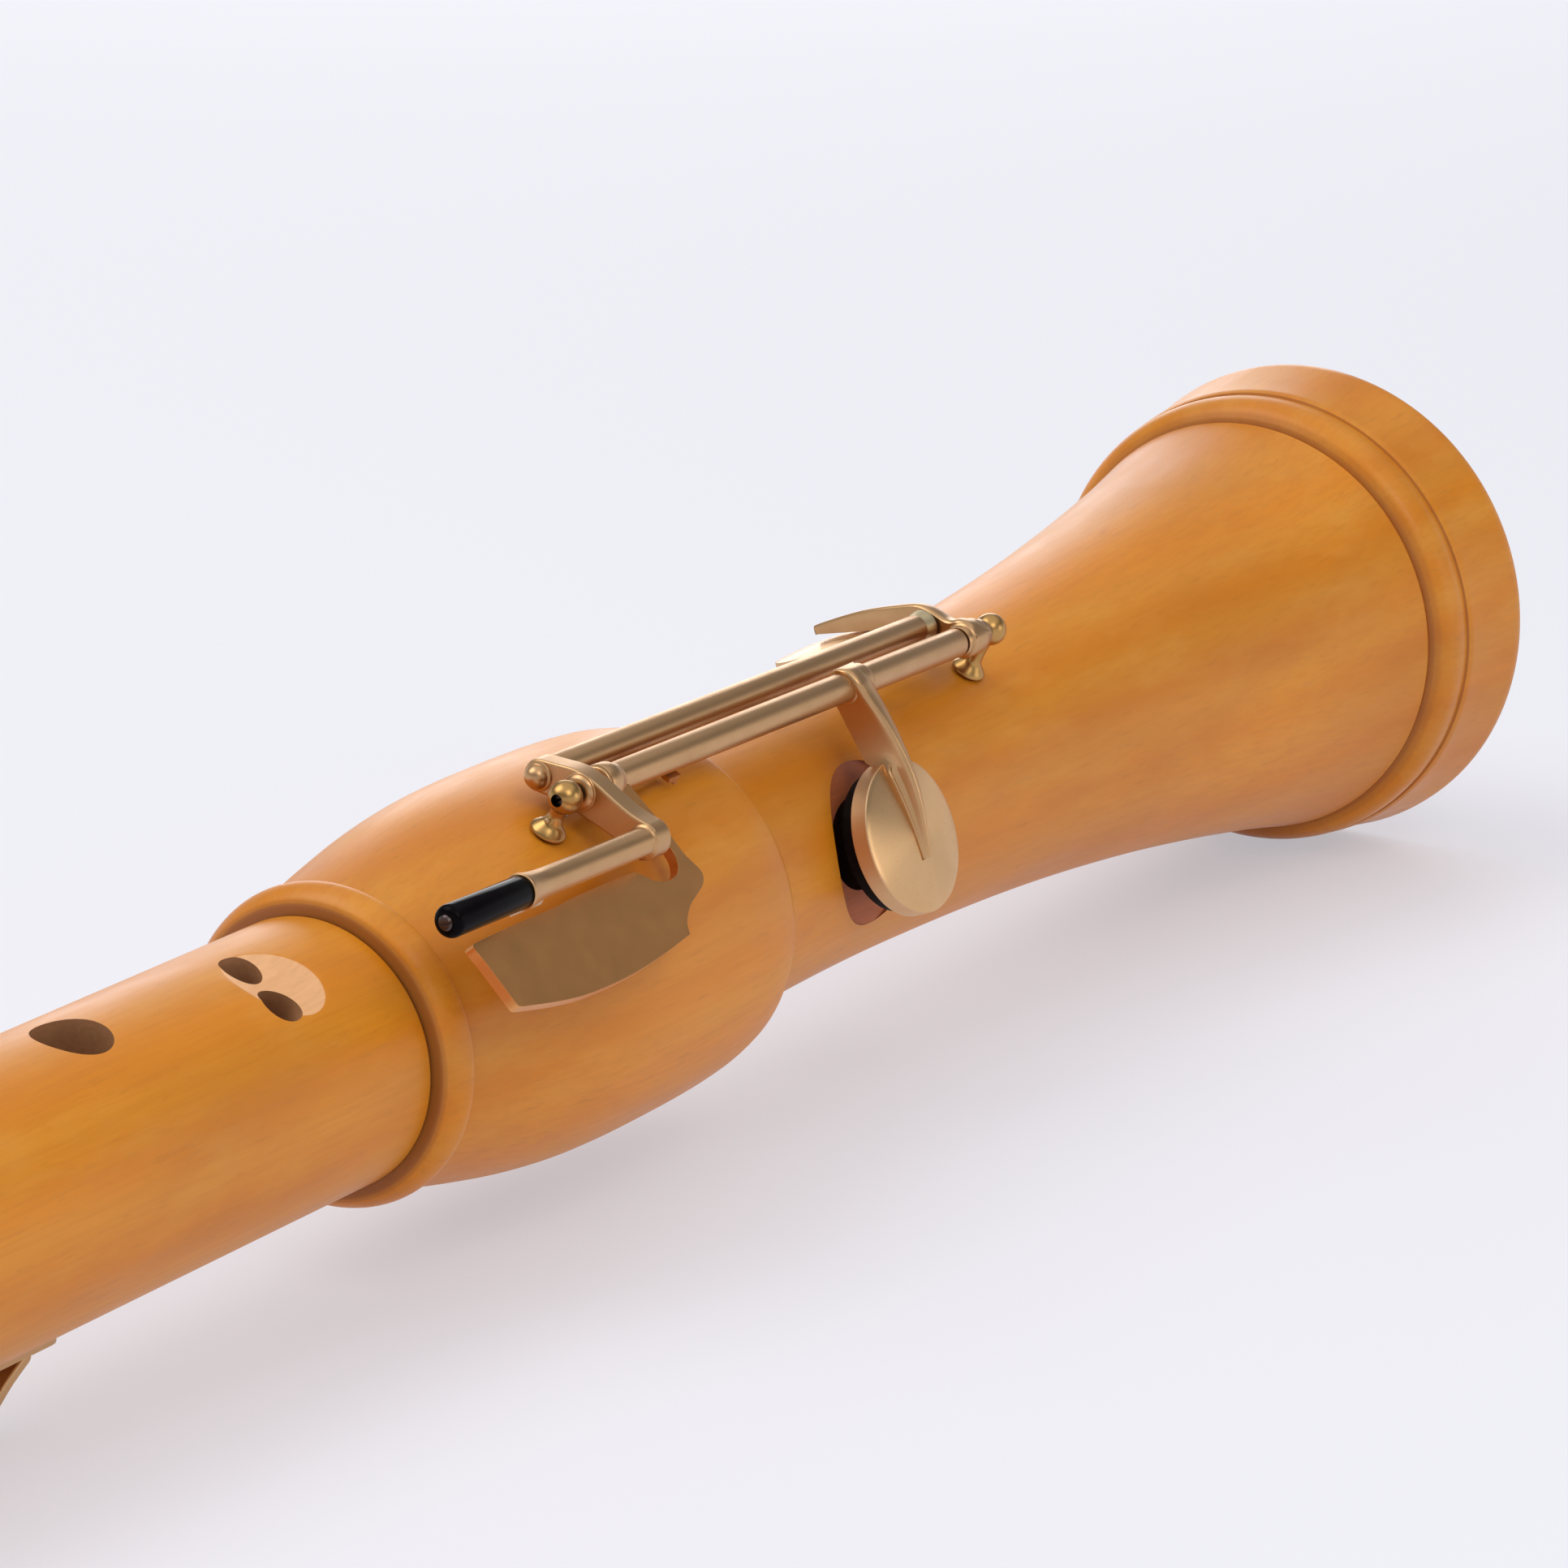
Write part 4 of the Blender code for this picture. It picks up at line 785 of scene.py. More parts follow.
class RECORDER_OT_head_joint(bpy.types.Operator):
    """Turn the head joint, cut windway, window and beak, and fit the block"""
    bl_idname = "recorder.head_joint"
    bl_label = "Head Joint"

    def execute(self, context):
        line = HEAD_LINE
        outer = [(HEAD_TOP, 17.8)]
        outer += smooth_curve([(HEAD_TOP + 1.2, 19.0), (HEAD_TOP + 30, 19.4), (HEAD_TOP + 70, 19.3),
                               (HEAD_TOP + 127, 18.3)], 20)
        outer += [(HEAD_TOP + 129.6, 18.5), (HEAD_TOP + 130.4, 19.2), (HEAD_TOP + 130.8, 20.4)]
        outer += smooth_curve([(HEAD_TOP + 131.4, 21.6), (line - 70, 22.5), (line - 61, 23.2),
                               (line - 50, 23.46), (line - 36, 23.42), (line - 26, 22.6), (line - 15, 20.9),
                               (line - 5.0, 18.5)], 5)
        outer += smooth_curve([(line - 4.6, 18.6), (line - 4.4, 19.25), (line - 3.8, 19.58),
                               (line - 2.8, 19.6), (line - 1.5, 19.2), (line - 0.5, 18.5), (line, 17.5)], 4)
        outer += [(line, 15.2), (line - 0.4, 14.8), (line - 22.6, 14.8), (line - 22.6, 11.7),
                  (HEAD_TOP, 12.0)]
        head = turned("head_joint_turned", outer, 128, closed=True, place=ALONG)
        paint(head, "wood")

        windway = cylinder("windway_cutter", HEAD_TOP - 2, LABIUM_EDGE - 0.5, WINDWAY_RADIUS, 128, ALONG)
        sides = block("windway_sides", (123, WINDWAY_WIDTH, 30), (HEAD_TOP + 30, 0, 20))
        cut(windway, sides, operation="INTERSECT")
        window = turned("window_cutter", [
            (WINDWAY_END, 9), (WINDWAY_END, 26), (RAMP_END, 26), (RAMP_END, 19.6),
            (LABIUM_EDGE, WINDWAY_RADIUS), (LABIUM_EDGE, 9)], 128, closed=True, place=ALONG)
        sides = block("window_sides", (53, WINDWAY_WIDTH, 30), ((WINDWAY_END + RAMP_END) / 2, 0, 20))
        cut(window, sides, operation="INTERSECT")
        for cutter in (windway, window, beak_hollow(), lip_slope()):
            paint(cutter, "wood")
            cut(head, cutter)
        settle(head, "head", "head_joint", INSTRUMENT, angle=SMOOTH_ANGLE)

        stopper = cylinder("windway_block_fitted", HEAD_TOP, WINDWAY_END - 0.1, BLOCK_RADIUS, 96, ALONG)
        paint(stopper, "block")
        middle = (HEAD_TOP + WINDWAY_END) / 2
        floor = turned("floor_cutter", [(40, 14), (-40, 14), (-40, BLOCK_FLOOR), (40, BLOCK_FLOOR)], 96,
                       closed=True, place=shift(middle, 0, 0) @ ALONG)
        cut(floor, block("floor_sides", (100, 15.3, 30), (middle, 0, 19)), operation="INTERSECT")
        for cutter in (floor, beak_hollow()):
            paint(cutter, "block")
            cut(stopper, cutter)
        settle(stopper, "head", "windway_block", INSTRUMENT, angle=SMOOTH_ANGLE)
        return {"FINISHED"}


class RECORDER_OT_thumb_rest(bpy.types.Operator):
    """Bend the thumb rest's saddle and hook and set its two screws"""
    bl_idname = "recorder.thumb_rest"
    bl_label = "Thumb Rest"

    def execute(self, context):
        place = INSTRUMENT @ at_station(*THUMB_REST)
        inner = MIDDLE_RADIUS + GAP
        outside = inner + SADDLE_THICKNESS
        saddle = turned("saddle", [(13, inner), (13, outside), (-13, outside), (-13, inner)], 160,
                        closed=True, place=ALONG)
        rounded = []
        for x, y, start in ((10, 3, 0), (-10, 3, 90), (-10, -3, 180), (10, -3, 270)):
            rounded += arc((x, y), SADDLE_CORNER, start, start + 90, 8)
        blank = plate("saddle_blank", rounded, 10, shift(0, 0, MIDDLE_RADIUS))
        cut(saddle, blank, operation="INTERSECT")
        for offset in REST_SCREWS.values():
            cut(saddle, cylinder("saddle_drill", 12, 22, REST_HOLE, 32, shift(offset, 0, 0)))
        ease(saddle, 0.2 * MM, 2)
        path = smooth_curve([(7.0, 17.9), (4.2, 19.9), (1.2, 22.6), (-3.4, 25.4)], 6)
        hook = plate("hook", bar_outline(path, [0.75] * len(path), 6), 10.5, turn(90, "X"))
        ease(hook, 0.35 * MM, 3)
        rest = join("thumb_rest_bent", hook, saddle)
        settle(rest, "middle", "thumb_rest", place, "bronze")
        seat = outside + GAP
        for node, offset in REST_SCREWS.items():
            dome = smooth_curve([(seat + 1.0, 0), (seat + 0.85, 0.9), (seat + 0.4, 1.7), (seat, 2.0)], 4)
            screw = turned(node + "_slotted", dome + [(seat, 1.1), (11.6, 1.1), (11.6, 0)], 40)
            cut(screw, block("screw_slot", (5, 0.45, 1.0), (0, 0, seat + 0.95)))
            settle(screw, "middle", node, place @ shift(offset, 0, 0) @ turn(25 + offset * 6, "Z"),
                   "post", SMOOTH_ANGLE)
        return {"FINISHED"}


class RECORDER_OT_posts(bpy.types.Operator):
    """Turn the two posts and the slotted hinge rod between them"""
    bl_idname = "recorder.posts"
    bl_label = "Posts and Hinge Rod"

    def execute(self, context):
        for node, station, surface, ball_height, bore_end in (
                ("front_post", FRONT_POST, FRONT_POST_SURFACE, FRONT_HINGE_RADIUS, 4.2),
                ("rear_post", REAR_POST, REAR_POST_SURFACE, REAR_HINGE_RADIUS, 1.0)):
            base = surface + GAP
            ball = [(ball_height + BALL_RADIUS * sin(radians(a)), BALL_RADIUS * cos(radians(a)))
                    for a in range(90, -61, -6)]
            waist = smooth_curve([(ball_height - 2.05, 1.0), ((ball_height + base) / 2, 0.95),
                                  (base + 2.1, 1.02), (base + 1.4, 1.25), (base + 0.75, 1.85),
                                  (base + 0.3, 2.2), (base, 2.25)], 5)
            foot_end = base - SHANK_LENGTH
            shank = [(base, SHANK_RADIUS), (foot_end, SHANK_RADIUS), (foot_end, 0)]
            post = turned(node + "_turned", ball + waist + shank, 64,
                          place=INSTRUMENT @ at_station(station, HINGE_ANGLE))
            distance = (station - FRONT_POST) / cos(HINGE_SLOPE)
            near, far = distance - 4.2, distance + bore_end
            bore = [(far, 0), (far, ROD_HOLE), (near, ROD_HOLE), (near, 0)]
            if node == "front_post":
                bore[2:] = [(-1.4, ROD_HOLE), (-1.4, 0.7), (-1.9, 0.78), (near, 0.78), (near, 0)]
            drill = turned("post_drill", bore, 48, place=HINGE @ ALONG)
            paint(post, "post")
            # The bore's walls take the dark screw metal: painted shade inside the post's hole
            paint(drill, "screw")
            cut(post, drill)
            smooth(post, 30)
            if node == "front_post":
                pin = turned("spring_end", rounded_rod(-1.45, -0.7, 0.32, 0.12), 24,
                             place=HINGE @ shift(0, 0.15, -3.35) @ ALONG)
                paint(pin, "solder")
                smooth(pin)
                post = join("front_post_turned", pin, post)
            settle(post, "foot", node)
        rod = turned("hinge_rod_slotted", rounded_rod(-1.2, HINGE_LENGTH + 0.6, ROD_RADIUS, 0.15), 48,
                     place=ALONG)
        slot = block("rod_slot", (1.2, 0.35, 4.0))
        put(slot, shift(-1.2, 0, 0) @ turn(35, "X"))
        cut(rod, slot)
        settle(rod, "foot", "hinge_rod", HINGE, "screw", SMOOTH_ANGLE)
        return {"FINISHED"}


def make_cup(node, pad, opening, body):
    """A shallow domed cup with a crisp rim, and the thick pad that sits in it."""
    place = pad_place(pad, opening)
    radius = pad["cup"]
    rim = radius - 0.22
    dome = [(CUP_DOME * (1 - (k / 16) ** 2), rim * k / 16) for k in range(17)]
    edge = [(-0.06, radius - 0.08), (-0.2, radius)]
    inside = radius - CUP_WALL
    wall = [(-CUP_HEIGHT + 0.15, radius), (-CUP_HEIGHT, radius - 0.15), (-CUP_HEIGHT, inside),
            (CUP_ROOF, inside), (CUP_ROOF, 0)]
    cup = turned(node + "_cup_domed", dome + edge + wall, 128)
    lathe_map(cup, radius)
    smooth(cup, 25)
    paint(cup, "cup", "wall")
    for face in cup.data.polygons:
        face.material_index = 1 if abs(face.normal.z) < 0.7 else 0
    settle(cup, body, node + "_cup", place)
    skin = inside - GAP
    back = CUP_ROOF - GAP
    bottom = -CUP_HEIGHT - PAD_DROP
    outline = [(back, 0), (back, skin)] + arc((bottom + 0.6, skin - 0.6), 0.6, 90, 180, 6)
    outline += smooth_curve([(bottom, skin - 1.4), (bottom + 0.25, skin - 2.3), (bottom + 0.1, skin - 3.4),
                             (bottom + 0.1, 0)], 3)
    disc = turned(node + "_stuffed", outline, 96)
    settle(disc, body, node, place, "pad", 40)


def lofted(name, sections):
    """A closed solid through cross-sections of equal corner count, each extruded from the last."""
    corners = [Vector(corner) * MM for corner in sections[0]]
    obj = first_point(name, corners[0])
    fill_outline(corners)
    for section in sections[1:]:
        ahead = [Vector(corner) * MM for corner in section]
        step = ahead[0] - corners[0]
        bpy.ops.mesh.extrude_region_move(TRANSFORM_OT_translate={"value": step})
        mesh = bmesh.from_edit_mesh(obj.data)
        for point in [point for point in mesh.verts if point.select]:
            nearest = min(range(len(corners)), key=lambda k: (corners[k] + step - point.co).length)
            point.co = ahead[nearest]
        bmesh.update_edit_mesh(obj.data)
        corners = ahead
    tidy_mesh()
    return obj


def mix(a, b, share):
    """A value between two others by a share that is kept between nought and one."""
    return a + (b - a) * min(max(share, 0.0), 1.0)


def ramp(value, low, high):
    """A soft step from nought at low to one at high."""
    share = min(max((value - low) / (high - low), 0.0), 1.0)
    return share * share * (3 - 2 * share)


def web_base(t, reach, drop, radius):
    """The lower edge of an arm's web, which stops half way down the tube behind the hinge."""
    web = mix(-2.3, -drop - 2.0, (-radius - 0.4 - t) / (reach - radius))
    return mix(web, -drop - 0.2, ramp(-reach - t, 0.0, 1.4))


def add_round_side(points, crest, half, height, fall):
    """Close a section with a side that falls in a soft curve from the crest."""
    for across, down in ((0.34, 0.06), (0.64, 0.24), (0.86, 0.50), (0.97, 0.78), (1.0, 1.0)):
        points.append((crest + (half - crest) * across, height - fall * down))


def round_edge(foot, crest, height, drop):
    """The rounded edge between an arm's flank and its crest."""
    width = crest - foot
    return [(foot + width * across, height - drop * down)
            for across, down in ((0.0, 1.0), (0.12, 0.62), (0.34, 0.30), (0.64, 0.08), (1.0, 0.0))]


def dome_height(t, radius):
    """The height of a cup's dome at a distance from its middle, and nought outside the cup."""
    return CUP_DOME * (1 - min(t / radius, 1.0) ** 2) if t > -radius else 0.0


def near_arm_section(t, height, reach, tip, drop, radius):
    """Points of the near arm's section: a web with its crest, whose flank ends in a lip on the cup."""
    on_cup = ramp(t, -radius - 0.3, -radius + 1.2)
    dome = dome_height(t, radius)
    base = mix(web_base(t, reach, drop, radius), dome - 0.2, on_cup)
    out = max((t + radius) / (tip + radius), 0.0)
    back = (t + reach) / (reach - radius)
    # Values at the collar and the cup's rim, and then at the arm's tip
    half = mix(mix(2.2, 1.9, back), 0.68, out)
    crest = mix(mix(-0.75, 0.15, back), 0.50, out) * half
    foot = crest - mix(0.75, 0.34, out)
    edge_drop = mix(0.62, 0.30, out)
    lip = dome + mix(0.46, 0.30, out)
    rise = height - edge_drop - lip
    edge = -half + 0.22
    low = [base, lip - 0.16, lip, lip - 0.10, lip + 0.30 * rise]
    sides = [-half, -half + 0.02, edge, mix(edge, foot, 0.32), mix(edge, foot, 0.84)]
    shares = (0.0, 0.45, 0.6, 0.75, 0.88)
    flank = [mix(base, height - edge_drop, share) for share in shares]
    slope = [mix(-half, foot, share) for share in shares]
    points = [(mix(a, b, on_cup), mix(c, d, on_cup)) for a, b, c, d in zip(slope, sides, flank, low)]
    points += round_edge(foot, crest, height, edge_drop)
    add_round_side(points, crest, half, height, min(1.5, height - base - 0.1))
    return points + [(half, base)]


def far_arm_section(t, height, reach, tip, drop, radius):
    """Points of the far arm's section: a deep web whose end stands clear of the cup."""
    dome = dome_height(t, radius)
    lift_start = -6.5
    lifted = mix(0.5, 1.8, (t - lift_start) / (tip - lift_start))
    clear = max(dome - 0.1, lifted) if t > lift_start else dome - 0.1
    base = mix(web_base(t, reach, drop, radius), clear, ramp(t, -radius - 0.3, -radius + 1.2))
    share = (t + reach) / (reach + tip)
    half = mix(1.8, 0.7, share)
    crest = -0.6 * half
    edge_drop = 0.4 if height - base > 0.9 else 0.4 * (height - base)
    points = [(-half, base), (-half, mix(base, height - edge_drop, 0.5))]
    points += round_edge(-half, crest, height, edge_drop)
    add_round_side(points, crest, half, height, min(1.5, (height - base) * 0.8))
    return points + [(half, base)]


def make_arm(node, pad, opening, body, arm, section, profile, collar, drill_radius):
    """A deep blade from the hinge collar that runs out over the cup."""
    place = pad_place(pad, opening)
    axis_point = place.inverted() @ HINGE @ (Vector((arm, 0, 0)) * MM)
    reach = abs(axis_point.y) / MM
    side = -1 if axis_point.y > 0 else 1
    drop = -axis_point.z / MM
    crest, tip, tip_height = profile
    top = smooth_curve([(-reach - 2.5, -drop + 0.3), (-reach - 1.9, -drop + 1.75),
                        (-reach - 0.3, -drop + 2.75), (-reach + 1.6, -drop + 3.15),
                        (-0.76 * reach, 0.64 * crest), (-0.56 * reach, 0.87 * crest),
                        (-0.25 * reach, crest), (tip - 0.3, tip_height + 0.12),
                        (tip, tip_height - 0.25)], 6)
    sections = []
    for t, height in top:
        points = section(t, height, reach, tip, drop, pad["cup"])
        sections.append([(axis_point.x / MM + x, side * t, z) for x, z in points])
    blade = lofted(node + "_blade", sections)
    smooth(blade, 28)
    put(blade, place)
    hinge_place = HINGE @ turn(-opening, "X") @ ALONG
    start, end = collar[0][0], collar[-1][0]
    ring = turned(node + "_collar", collar, 64, closed=True, place=hinge_place)
    smooth(ring, 40)
    cut(blade, cylinder("arm_drill", start - 3, end + 4, drill_radius, 48, hinge_place))
    settle(join(node + "_arm_forged", blade, ring), body, node + "_arm", finish="bronze")


class RECORDER_OT_plate_key(bpy.types.Operator):
    """Build the open-standing key: hinge tube, touch plate, arm, cup and pad"""
    bl_idname = "recorder.plate_key"
    bl_label = "Plate Key"

    def execute(self, context):
        sizes = context.scene.recorder_sizes
        tube = turned("hinge_tube_drawn", rounded_rod(7.0, 93.1, TUBE_RADIUS, 0.2, ROD_HOLE), 64,
                      closed=True)
        settle(tube, "plate_key", "hinge_tube", HINGE @ ALONG, "bronze", SMOOTH_ANGLE)

        arm_edge = smooth_curve([(11.0, 1.6), (11.7, 4.6), (12.45, 7.5), (12.85, 10.0), (13.25, 12.4),
                                 (13.75, 13.6), (14.28, 14.7)], 5)
        scoop = smooth_curve([(14.35, 15.3), (14.1, 15.9), (13.2, 16.7), (11.4, 17.42), (8.96, 18.28),
                              (7.03, 19.41), (5.87, 20.5), (5.35, 21.6)], 4)
        outer_edge = smooth_curve([(1.54, 22.16), (-3.4, 22.75), (-9.9, 23.25), (-17.6, 23.3), (-23.8, 22.75),
                                   (-30.9, 21.55)], 5)
        front_edge = smooth_curve([(-31.45, 21.35), (-31.75, 20.8), (-32.2, 17.6), (-32.7, 14.6),
                                   (-33.05, 13.2), (-32.9, 12.75), (-32.4, 12.6)], 3)
        inner_edge = smooth_curve([(-24.0, 12.35), (-15.5, 12.35), (-9.9, 12.1), (1.2, 12.1), (2.7, 12.4),
                                   (4.9, 14.0), (6.9, 14.65), (9.2, 14.5), (10.5, 13.75), (11.25, 12.6),
                                   (11.4, 11.4), (11.0, 9.8), (10.2, 7.6), (9.5, 5.2), (9.0, 1.6)], 5)
        outline = [(x, -y) for x, y in arm_edge + scoop + outer_edge + front_edge + inner_edge]
        thickness = sizes.plate_thickness / MM
        tilt = radians(PLATE_TILT)
        touch = plate("touch", outline, thickness,
                      shift(0, thickness / 2 * sin(tilt), 1.2 - thickness / 2 * cos(tilt))
                      @ turn(PLATE_TILT, "X"))
        cut(touch, cylinder("touch_drill", 5, 16, TUBE_RADIUS + 0.05, 48, ALONG))
        ease(touch, 0.40 * MM, 4, 50)
        collar = turned("touch_collar", [
            (10.6, 1.88), (10.55, 1.96), (10.2, 2.04), (9.7, 2.18), (9.3, 2.36), (8.9, 2.42), (7.2, 2.44),
            (7.05, 2.38), (7.0, 2.26), (6.9, 2.3), (6.7, 2.24), (6.6, 2.1),
            (6.6, ROD_HOLE), (7.0, ROD_HOLE), (7.0, 1.88)],
            64, closed=True, place=ALONG)
        smooth(collar, 40)
        paint(touch, "plate")
        paint(collar, "bronze")
        settle(join("touch_plate_shaped", touch, collar), "plate_key", "touch_plate", HINGE)
        make_cup("near_pad", NEAR_PAD, PLATE_OPENING, "plate_key")
        near_collar = [(68.7, 1.88), (68.7, 2.1), (68.5, 2.34), (68.2, 2.4), (64.6, 2.4), (64.3, 2.34),
                       (64.2, 2.2), (64.2, 1.88)]
        make_arm("near_pad", NEAR_PAD, PLATE_OPENING, "plate_key", 66.4, near_arm_section, (2.7, 2.9, 1.5),
                 near_collar, TUBE_RADIUS + 0.02)
        return {"FINISHED"}


class RECORDER_OT_roller_key(bpy.types.Operator):
    """Build the closed-standing key: lever, bridge rod, rear arm, cup, pad and roller carrier"""
    bl_idname = "recorder.roller_key"
    bl_label = "Roller Key"

    def execute(self, context):
        shape = smooth_curve([(*BRIDGE_LINE, 2.05), (3.4, -0.95, 2.15), (1.2, -0.25, 2.35),
                              (-1.2, -0.05, 2.4), (-4.2, 0.0, 2.15), (-7.2, 0.05, 2.05),
                              (-9.9, 0.1, 2.4)], 5)
        outline = bar_outline([point[:2] for point in shape], [point[2] for point in shape], 18)
        lever = plate("lever", outline, 3.1, shift(4.45, 0, 0) @ turn(90, "Z") @ turn(90, "X"))
        cut(lever, cylinder("lever_drill", 1, 8, ROD_HOLE, 48, ALONG))
        ease(lever, 0.34 * MM, 4, 45)
        hub = turned("lever_hub", [
            (6.3, ROD_HOLE), (6.3, 1.9), (6.15, 2.08), (5.9, 2.1), (3.0, 2.3), (2.84, 2.38), (2.76, 2.32),
            (2.74, 2.14), (2.68, 2.1), (2.56, 2.0), (2.4, 1.8), (2.3, 1.6), (2.3, 1.05),
            (2.5, 1.05), (2.6, ROD_HOLE)],
            64, closed=True, place=ALONG)
        smooth(hub, 30)
        settle(join("roller_lever_forged", lever, hub), "roller_key", "roller_lever", HINGE,
               "bronze")

        bridge_line = HINGE @ shift(0, *BRIDGE_LINE) @ ALONG
        bridge = turned("bridge_drawn", rounded_rod(6.3, 94.0, BRIDGE_RADIUS, 0.2), 64, place=bridge_line)
        smooth(bridge)
        paint(bridge, "bronze")
        fillet = turned("bridge_solder", [
            (92.4, 1.84), (92.9, 1.94), (93.5, 2.06), (93.9, 2.16), (94.3, 2.2), (94.3, 0), (92.4, 0)],
            48, closed=True, place=bridge_line)
        smooth(fillet, 40)
        paint(fillet, "solder")
        settle(join("bridge_rod_drawn", fillet, bridge), "roller_key", "bridge_rod")
        dome = [(2.52 - 1.46 * sin(radians(a)), 1.5 * cos(radians(a))) for a in range(0, 91, 9)]
        ring = [(2.9, 0), (2.9, 1.82), (2.78, 1.88), (2.66, 1.82), (2.62, 1.6)]
        cap = turned("bridge_cap_domed", ring + dome)
        settle(cap, "roller_key", "bridge_cap", bridge_line, "bronze", 40)
        make_cup("far_pad", FAR_PAD, 0.0, "roller_key")
        far_collar = [(99.6, ROD_HOLE), (99.6, 1.75), (99.4, 1.9), (98.5, 1.86), (98.1, 2.0), (97.8, 2.3),
                      (97.5, 2.4), (94.7, 2.4), (94.45, 2.3), (94.3, 2.05), (93.6, 1.96), (93.5, 1.9),
                      (93.5, ROD_HOLE)]
        make_arm("far_pad", FAR_PAD, 0.0, "roller_key", 96.4, far_arm_section, (3.4, 2.6, 2.95),
                 far_collar, ROD_HOLE)

        line = shift(0, *ROLLER_LINE)
        end = CARRIER_END
        outline = [(2.9, 0), (2.9, 1.94), (2.78, 2.04), (2.6, 2.04), (2.5, 1.92), (2.35, 1.78), (2.0, 1.72)]
        outline += smooth_curve([(end + 7.0, 1.72), (end + 4.0, 1.78), (end + 1.8, 1.98), (end + 0.5, 2.18),
                                 (end + 0.12, 2.2), (end, 2.08)], 4) + [(end, 0)]
        carrier = turned("carrier", outline, 64, place=line @ ALONG)
        cut(carrier, cylinder("carrier_drill", end - 1, end + 6.3, ROLLER_BORE, 32, line @ ALONG))
        smooth(carrier, 30)
        slope = smooth_curve([(end + 7.0, -1.2), (end + 5.6, -2.0), (end + 4.4, -FIN_DEPTH)], 4)
        foot = [(end + 1.5, -FIN_DEPTH), (end + 0.7, -2.4), (end + 0.5, -0.6), (end + 7.0, -0.6)]
        fin = plate("fin", slope + foot, 1.6, shift(0, 0.6, 0) @ line @ turn(90, "X"))
        ease(fin, 0.25 * MM, 3)
        settle(join("roller_carrier_turned", fin, carrier), "roller_key", "roller_carrier", HINGE,
               "bronze")

        bumper = block("stop_bumper_cut", BUMPER_SIZE, BUMPER_PLACE)
        ease(bumper, 0.15 * MM, 2)
        settle(bumper, "roller_key", "stop_bumper", HINGE, "felt")

        tip = end - GAP - ROLLER_LENGTH
        head = [(end + 6.0, 0), (end + 6.0, 0.7), (tip + 0.3, 0.7), (tip + 0.3, 0.95), (tip - 0.05, 0.95),
                (tip - 0.3, 0.75), (tip - 0.35, 0.5), (tip - 0.35, 0)]
        screw = turned("roller_screw_slotted", head, 40, place=line @ ALONG)
        slot = block("slot", (0.7, 3.0, 0.3))
        put(slot, shift(tip - 0.35, *ROLLER_LINE) @ turn(-42, "X"))
        cut(screw, slot)
        settle(screw, "roller_key", "roller_screw", HINGE, "screw", SMOOTH_ANGLE)
        return {"FINISHED"}


class RECORDER_OT_roller(bpy.types.Operator):
    """Turn the black roller on its screw"""
    bl_idname = "recorder.roller"
    bl_label = "Roller"

    def execute(self, context):
        radius = context.scene.recorder_sizes.roller_radius / MM
        start = CARRIER_END - GAP
        tip = start - ROLLER_LENGTH
        outline = [(start, ROLLER_BORE), (start, radius - 0.2)]
        outline += arc((start - 0.2, radius - 0.2), 0.2, 0, 90, 3)
        outline += arc((tip + 1.1, radius - 1.1), 1.1, 90, 180, 8)
        outline += [(tip + 0.6, ROLLER_BORE + 0.05), (tip + 0.6, ROLLER_BORE)]
        roller = turned("roller_turned", outline, closed=True)
        settle(roller, "roller", "roller", HINGE @ shift(0, *ROLLER_LINE) @ ALONG, "black", 35)
        return {"FINISHED"}


class RECORDER_OT_small_parts(bpy.types.Operator):
    """Give the corks, springs and spring hooks their finishes"""
    bl_idname = "recorder.small_parts"
    bl_label = "Corks and Springs"

    def execute(self, context):
        for node, finish in (("upper_tenon_cork", "cork"), ("lower_tenon_cork", "cork"),
                             ("plate_key_spring", "steel"), ("roller_key_spring", "steel"),
                             ("plate_key_spring_hook", "bronze"), ("roller_key_spring_hook", "bronze")):
            paint(frame["nodes"][node], finish)
        return {"FINISHED"}


def soft_light(name, target, offset, size, power, colour):
    """A large square lamp that faces the target."""
    choose_nothing()
    bpy.ops.object.light_add(type="AREA", location=target + Vector(offset))
    lamp = bpy.context.view_layer.objects.active
    lamp.name = name
    lamp.data.size = size
    lamp.data.energy = power
    lamp.data.color = colour
    lamp.rotation_euler = (-Vector(offset)).to_track_quat("-Z", "Y").to_euler()


def studio_world():
    """A bright horizon, dim walls above it and a bright ceiling."""
    world = bpy.data.worlds.new("studio")
    world.use_nodes = True
    tree = world.node_tree
    source = add_node(tree, "ShaderNodeTexCoord")
    split = add_node(tree, "ShaderNodeSeparateXYZ", {"Vector": source.outputs["Generated"]})
    horizon = remap(tree, split.outputs["Z"], 0.10, 0.38, 0.90, 0.20)
    ceiling = remap(tree, split.outputs["Z"], 0.56, 0.80, 0.0, 0.72)
    total = add_node(tree, "ShaderNodeMath", {0: horizon, 1: ceiling}, operation="ADD")
    feed(tree, tree.nodes["Background"], {"Color": (0.95, 0.96, 1.0, 1), "Strength": total.outputs["Value"]})
    return world


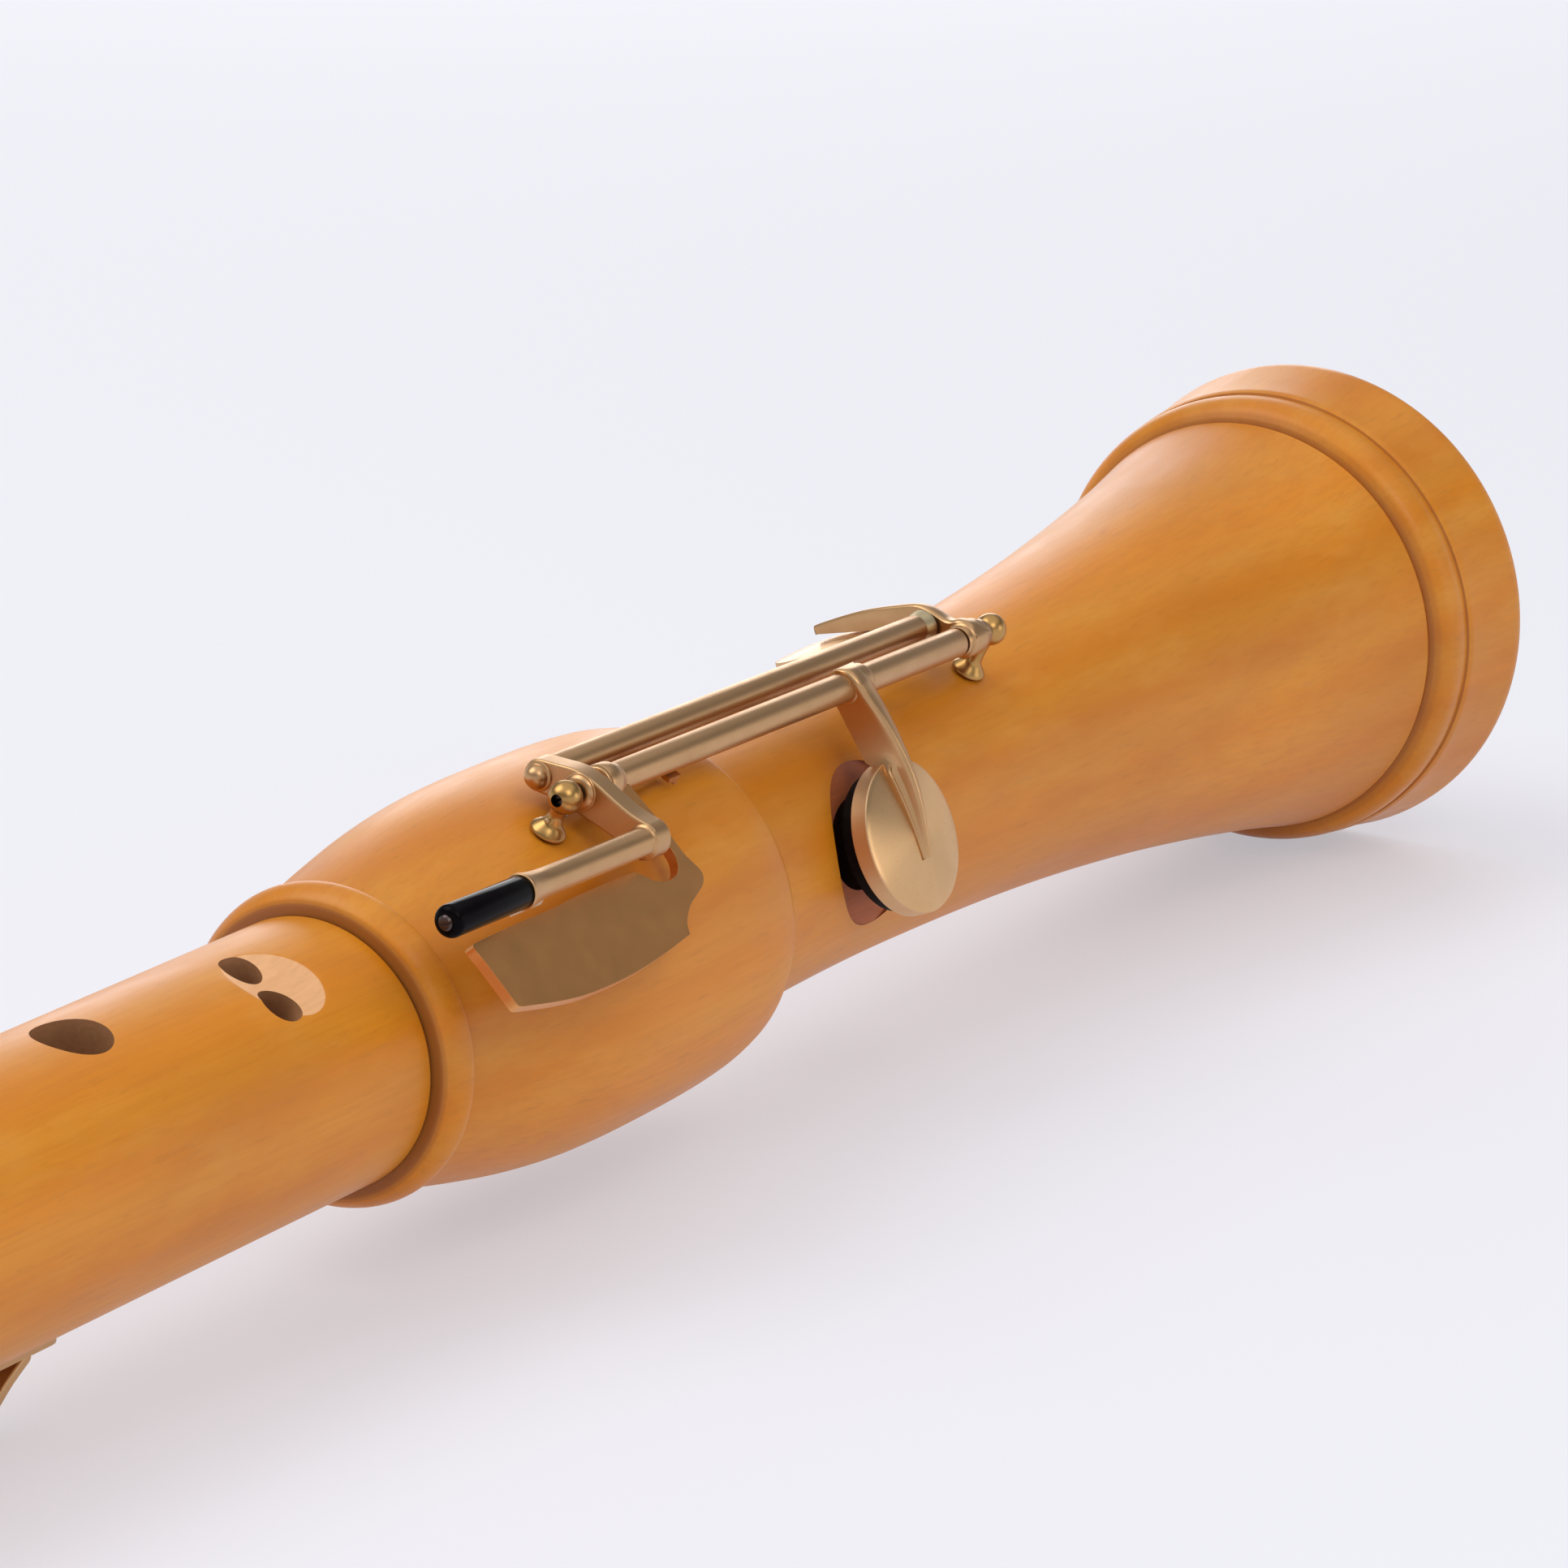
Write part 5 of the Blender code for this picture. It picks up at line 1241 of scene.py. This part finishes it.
class RECORDER_OT_stage(bpy.types.Operator):
    """Lay the floor, set the soft light and place the camera"""
    bl_idname = "recorder.stage"
    bl_label = "Stage"

    def execute(self, context):
        scene = context.scene
        choose_nothing()
        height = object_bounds()[0].z - FLOOR_GAP
        bpy.ops.mesh.primitive_plane_add(size=FLOOR_WIDTH, location=(0, 0, height))
        floor = bpy.context.view_layer.objects.active
        floor.name = "studio_floor"
        paint(floor, "floor")
        floor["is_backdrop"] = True

        scene.world = studio_world()
        target = (INSTRUMENT @ shift(TARGET_STATION, 0, 0)).translation
        for name, settings in LAMPS.items():
            soft_light(name, target, *settings)

        bpy.ops.object.camera_add()
        camera = bpy.context.view_layer.objects.active
        camera.name = "photo_camera"
        forward = Vector(CAMERA_FORWARD).normalized()
        right = Vector(CAMERA_RIGHT).normalized()
        up = right.cross(forward).normalized()
        axes = Matrix((right, up, -forward)).transposed().to_4x4()
        camera.matrix_world = INSTRUMENT @ shift(*CAMERA_PLACE) @ axes
        camera.data.sensor_width = CAMERA_SENSOR
        camera.data.lens = CAMERA_LENS
        camera.data.clip_start = 0.01
        camera.data.clip_end = 100
        scene.camera = camera
        scene.view_settings.view_transform = "Standard"
        return {"FINISHED"}


class RECORDER_PT_panel(bpy.types.Panel):
    """Sizes, colours and building steps of the recorder"""
    bl_idname = "RECORDER_PT_panel"
    bl_label = "Recorder"
    bl_space_type = "VIEW_3D"
    bl_region_type = "UI"
    bl_category = "Recorder"

    def draw(self, context):
        for group in (context.scene.recorder_sizes, context.scene.recorder_colours):
            column = self.layout.column(align=True)
            for name in group.bl_rna.properties.keys():
                if name not in {"rna_type", "name"}:
                    column.prop(group, name)
        for operator in OPERATORS:
            self.layout.operator(operator.bl_idname)


OPERATORS = (
    RECORDER_OT_finishes, RECORDER_OT_foot_joint, RECORDER_OT_middle_joint, RECORDER_OT_head_joint,
    RECORDER_OT_thumb_rest, RECORDER_OT_posts, RECORDER_OT_plate_key, RECORDER_OT_roller_key,
    RECORDER_OT_roller, RECORDER_OT_small_parts, RECORDER_OT_stage,
)
CLASSES = (RecorderColours, RecorderSizes, *OPERATORS, RECORDER_PT_panel)


def register():
    for item in CLASSES:
        bpy.utils.register_class(item)
    bpy.types.Scene.recorder_colours = PointerProperty(type=RecorderColours)
    bpy.types.Scene.recorder_sizes = PointerProperty(type=RecorderSizes)


def unregister():
    del bpy.types.Scene.recorder_sizes
    del bpy.types.Scene.recorder_colours
    for item in reversed(CLASSES):
        bpy.utils.unregister_class(item)


def main():
    """Build all pieces and the stage."""
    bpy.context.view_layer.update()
    register()
    bpy.ops.recorder.finishes()
    bpy.ops.recorder.foot_joint()
    bpy.ops.recorder.middle_joint()
    bpy.ops.recorder.head_joint()
    bpy.ops.recorder.thumb_rest()
    bpy.ops.recorder.posts()
    bpy.ops.recorder.plate_key()
    bpy.ops.recorder.roller_key()
    bpy.ops.recorder.roller()
    bpy.ops.recorder.small_parts()
    bpy.ops.recorder.stage()


if __name__ == "__main__":
    main()
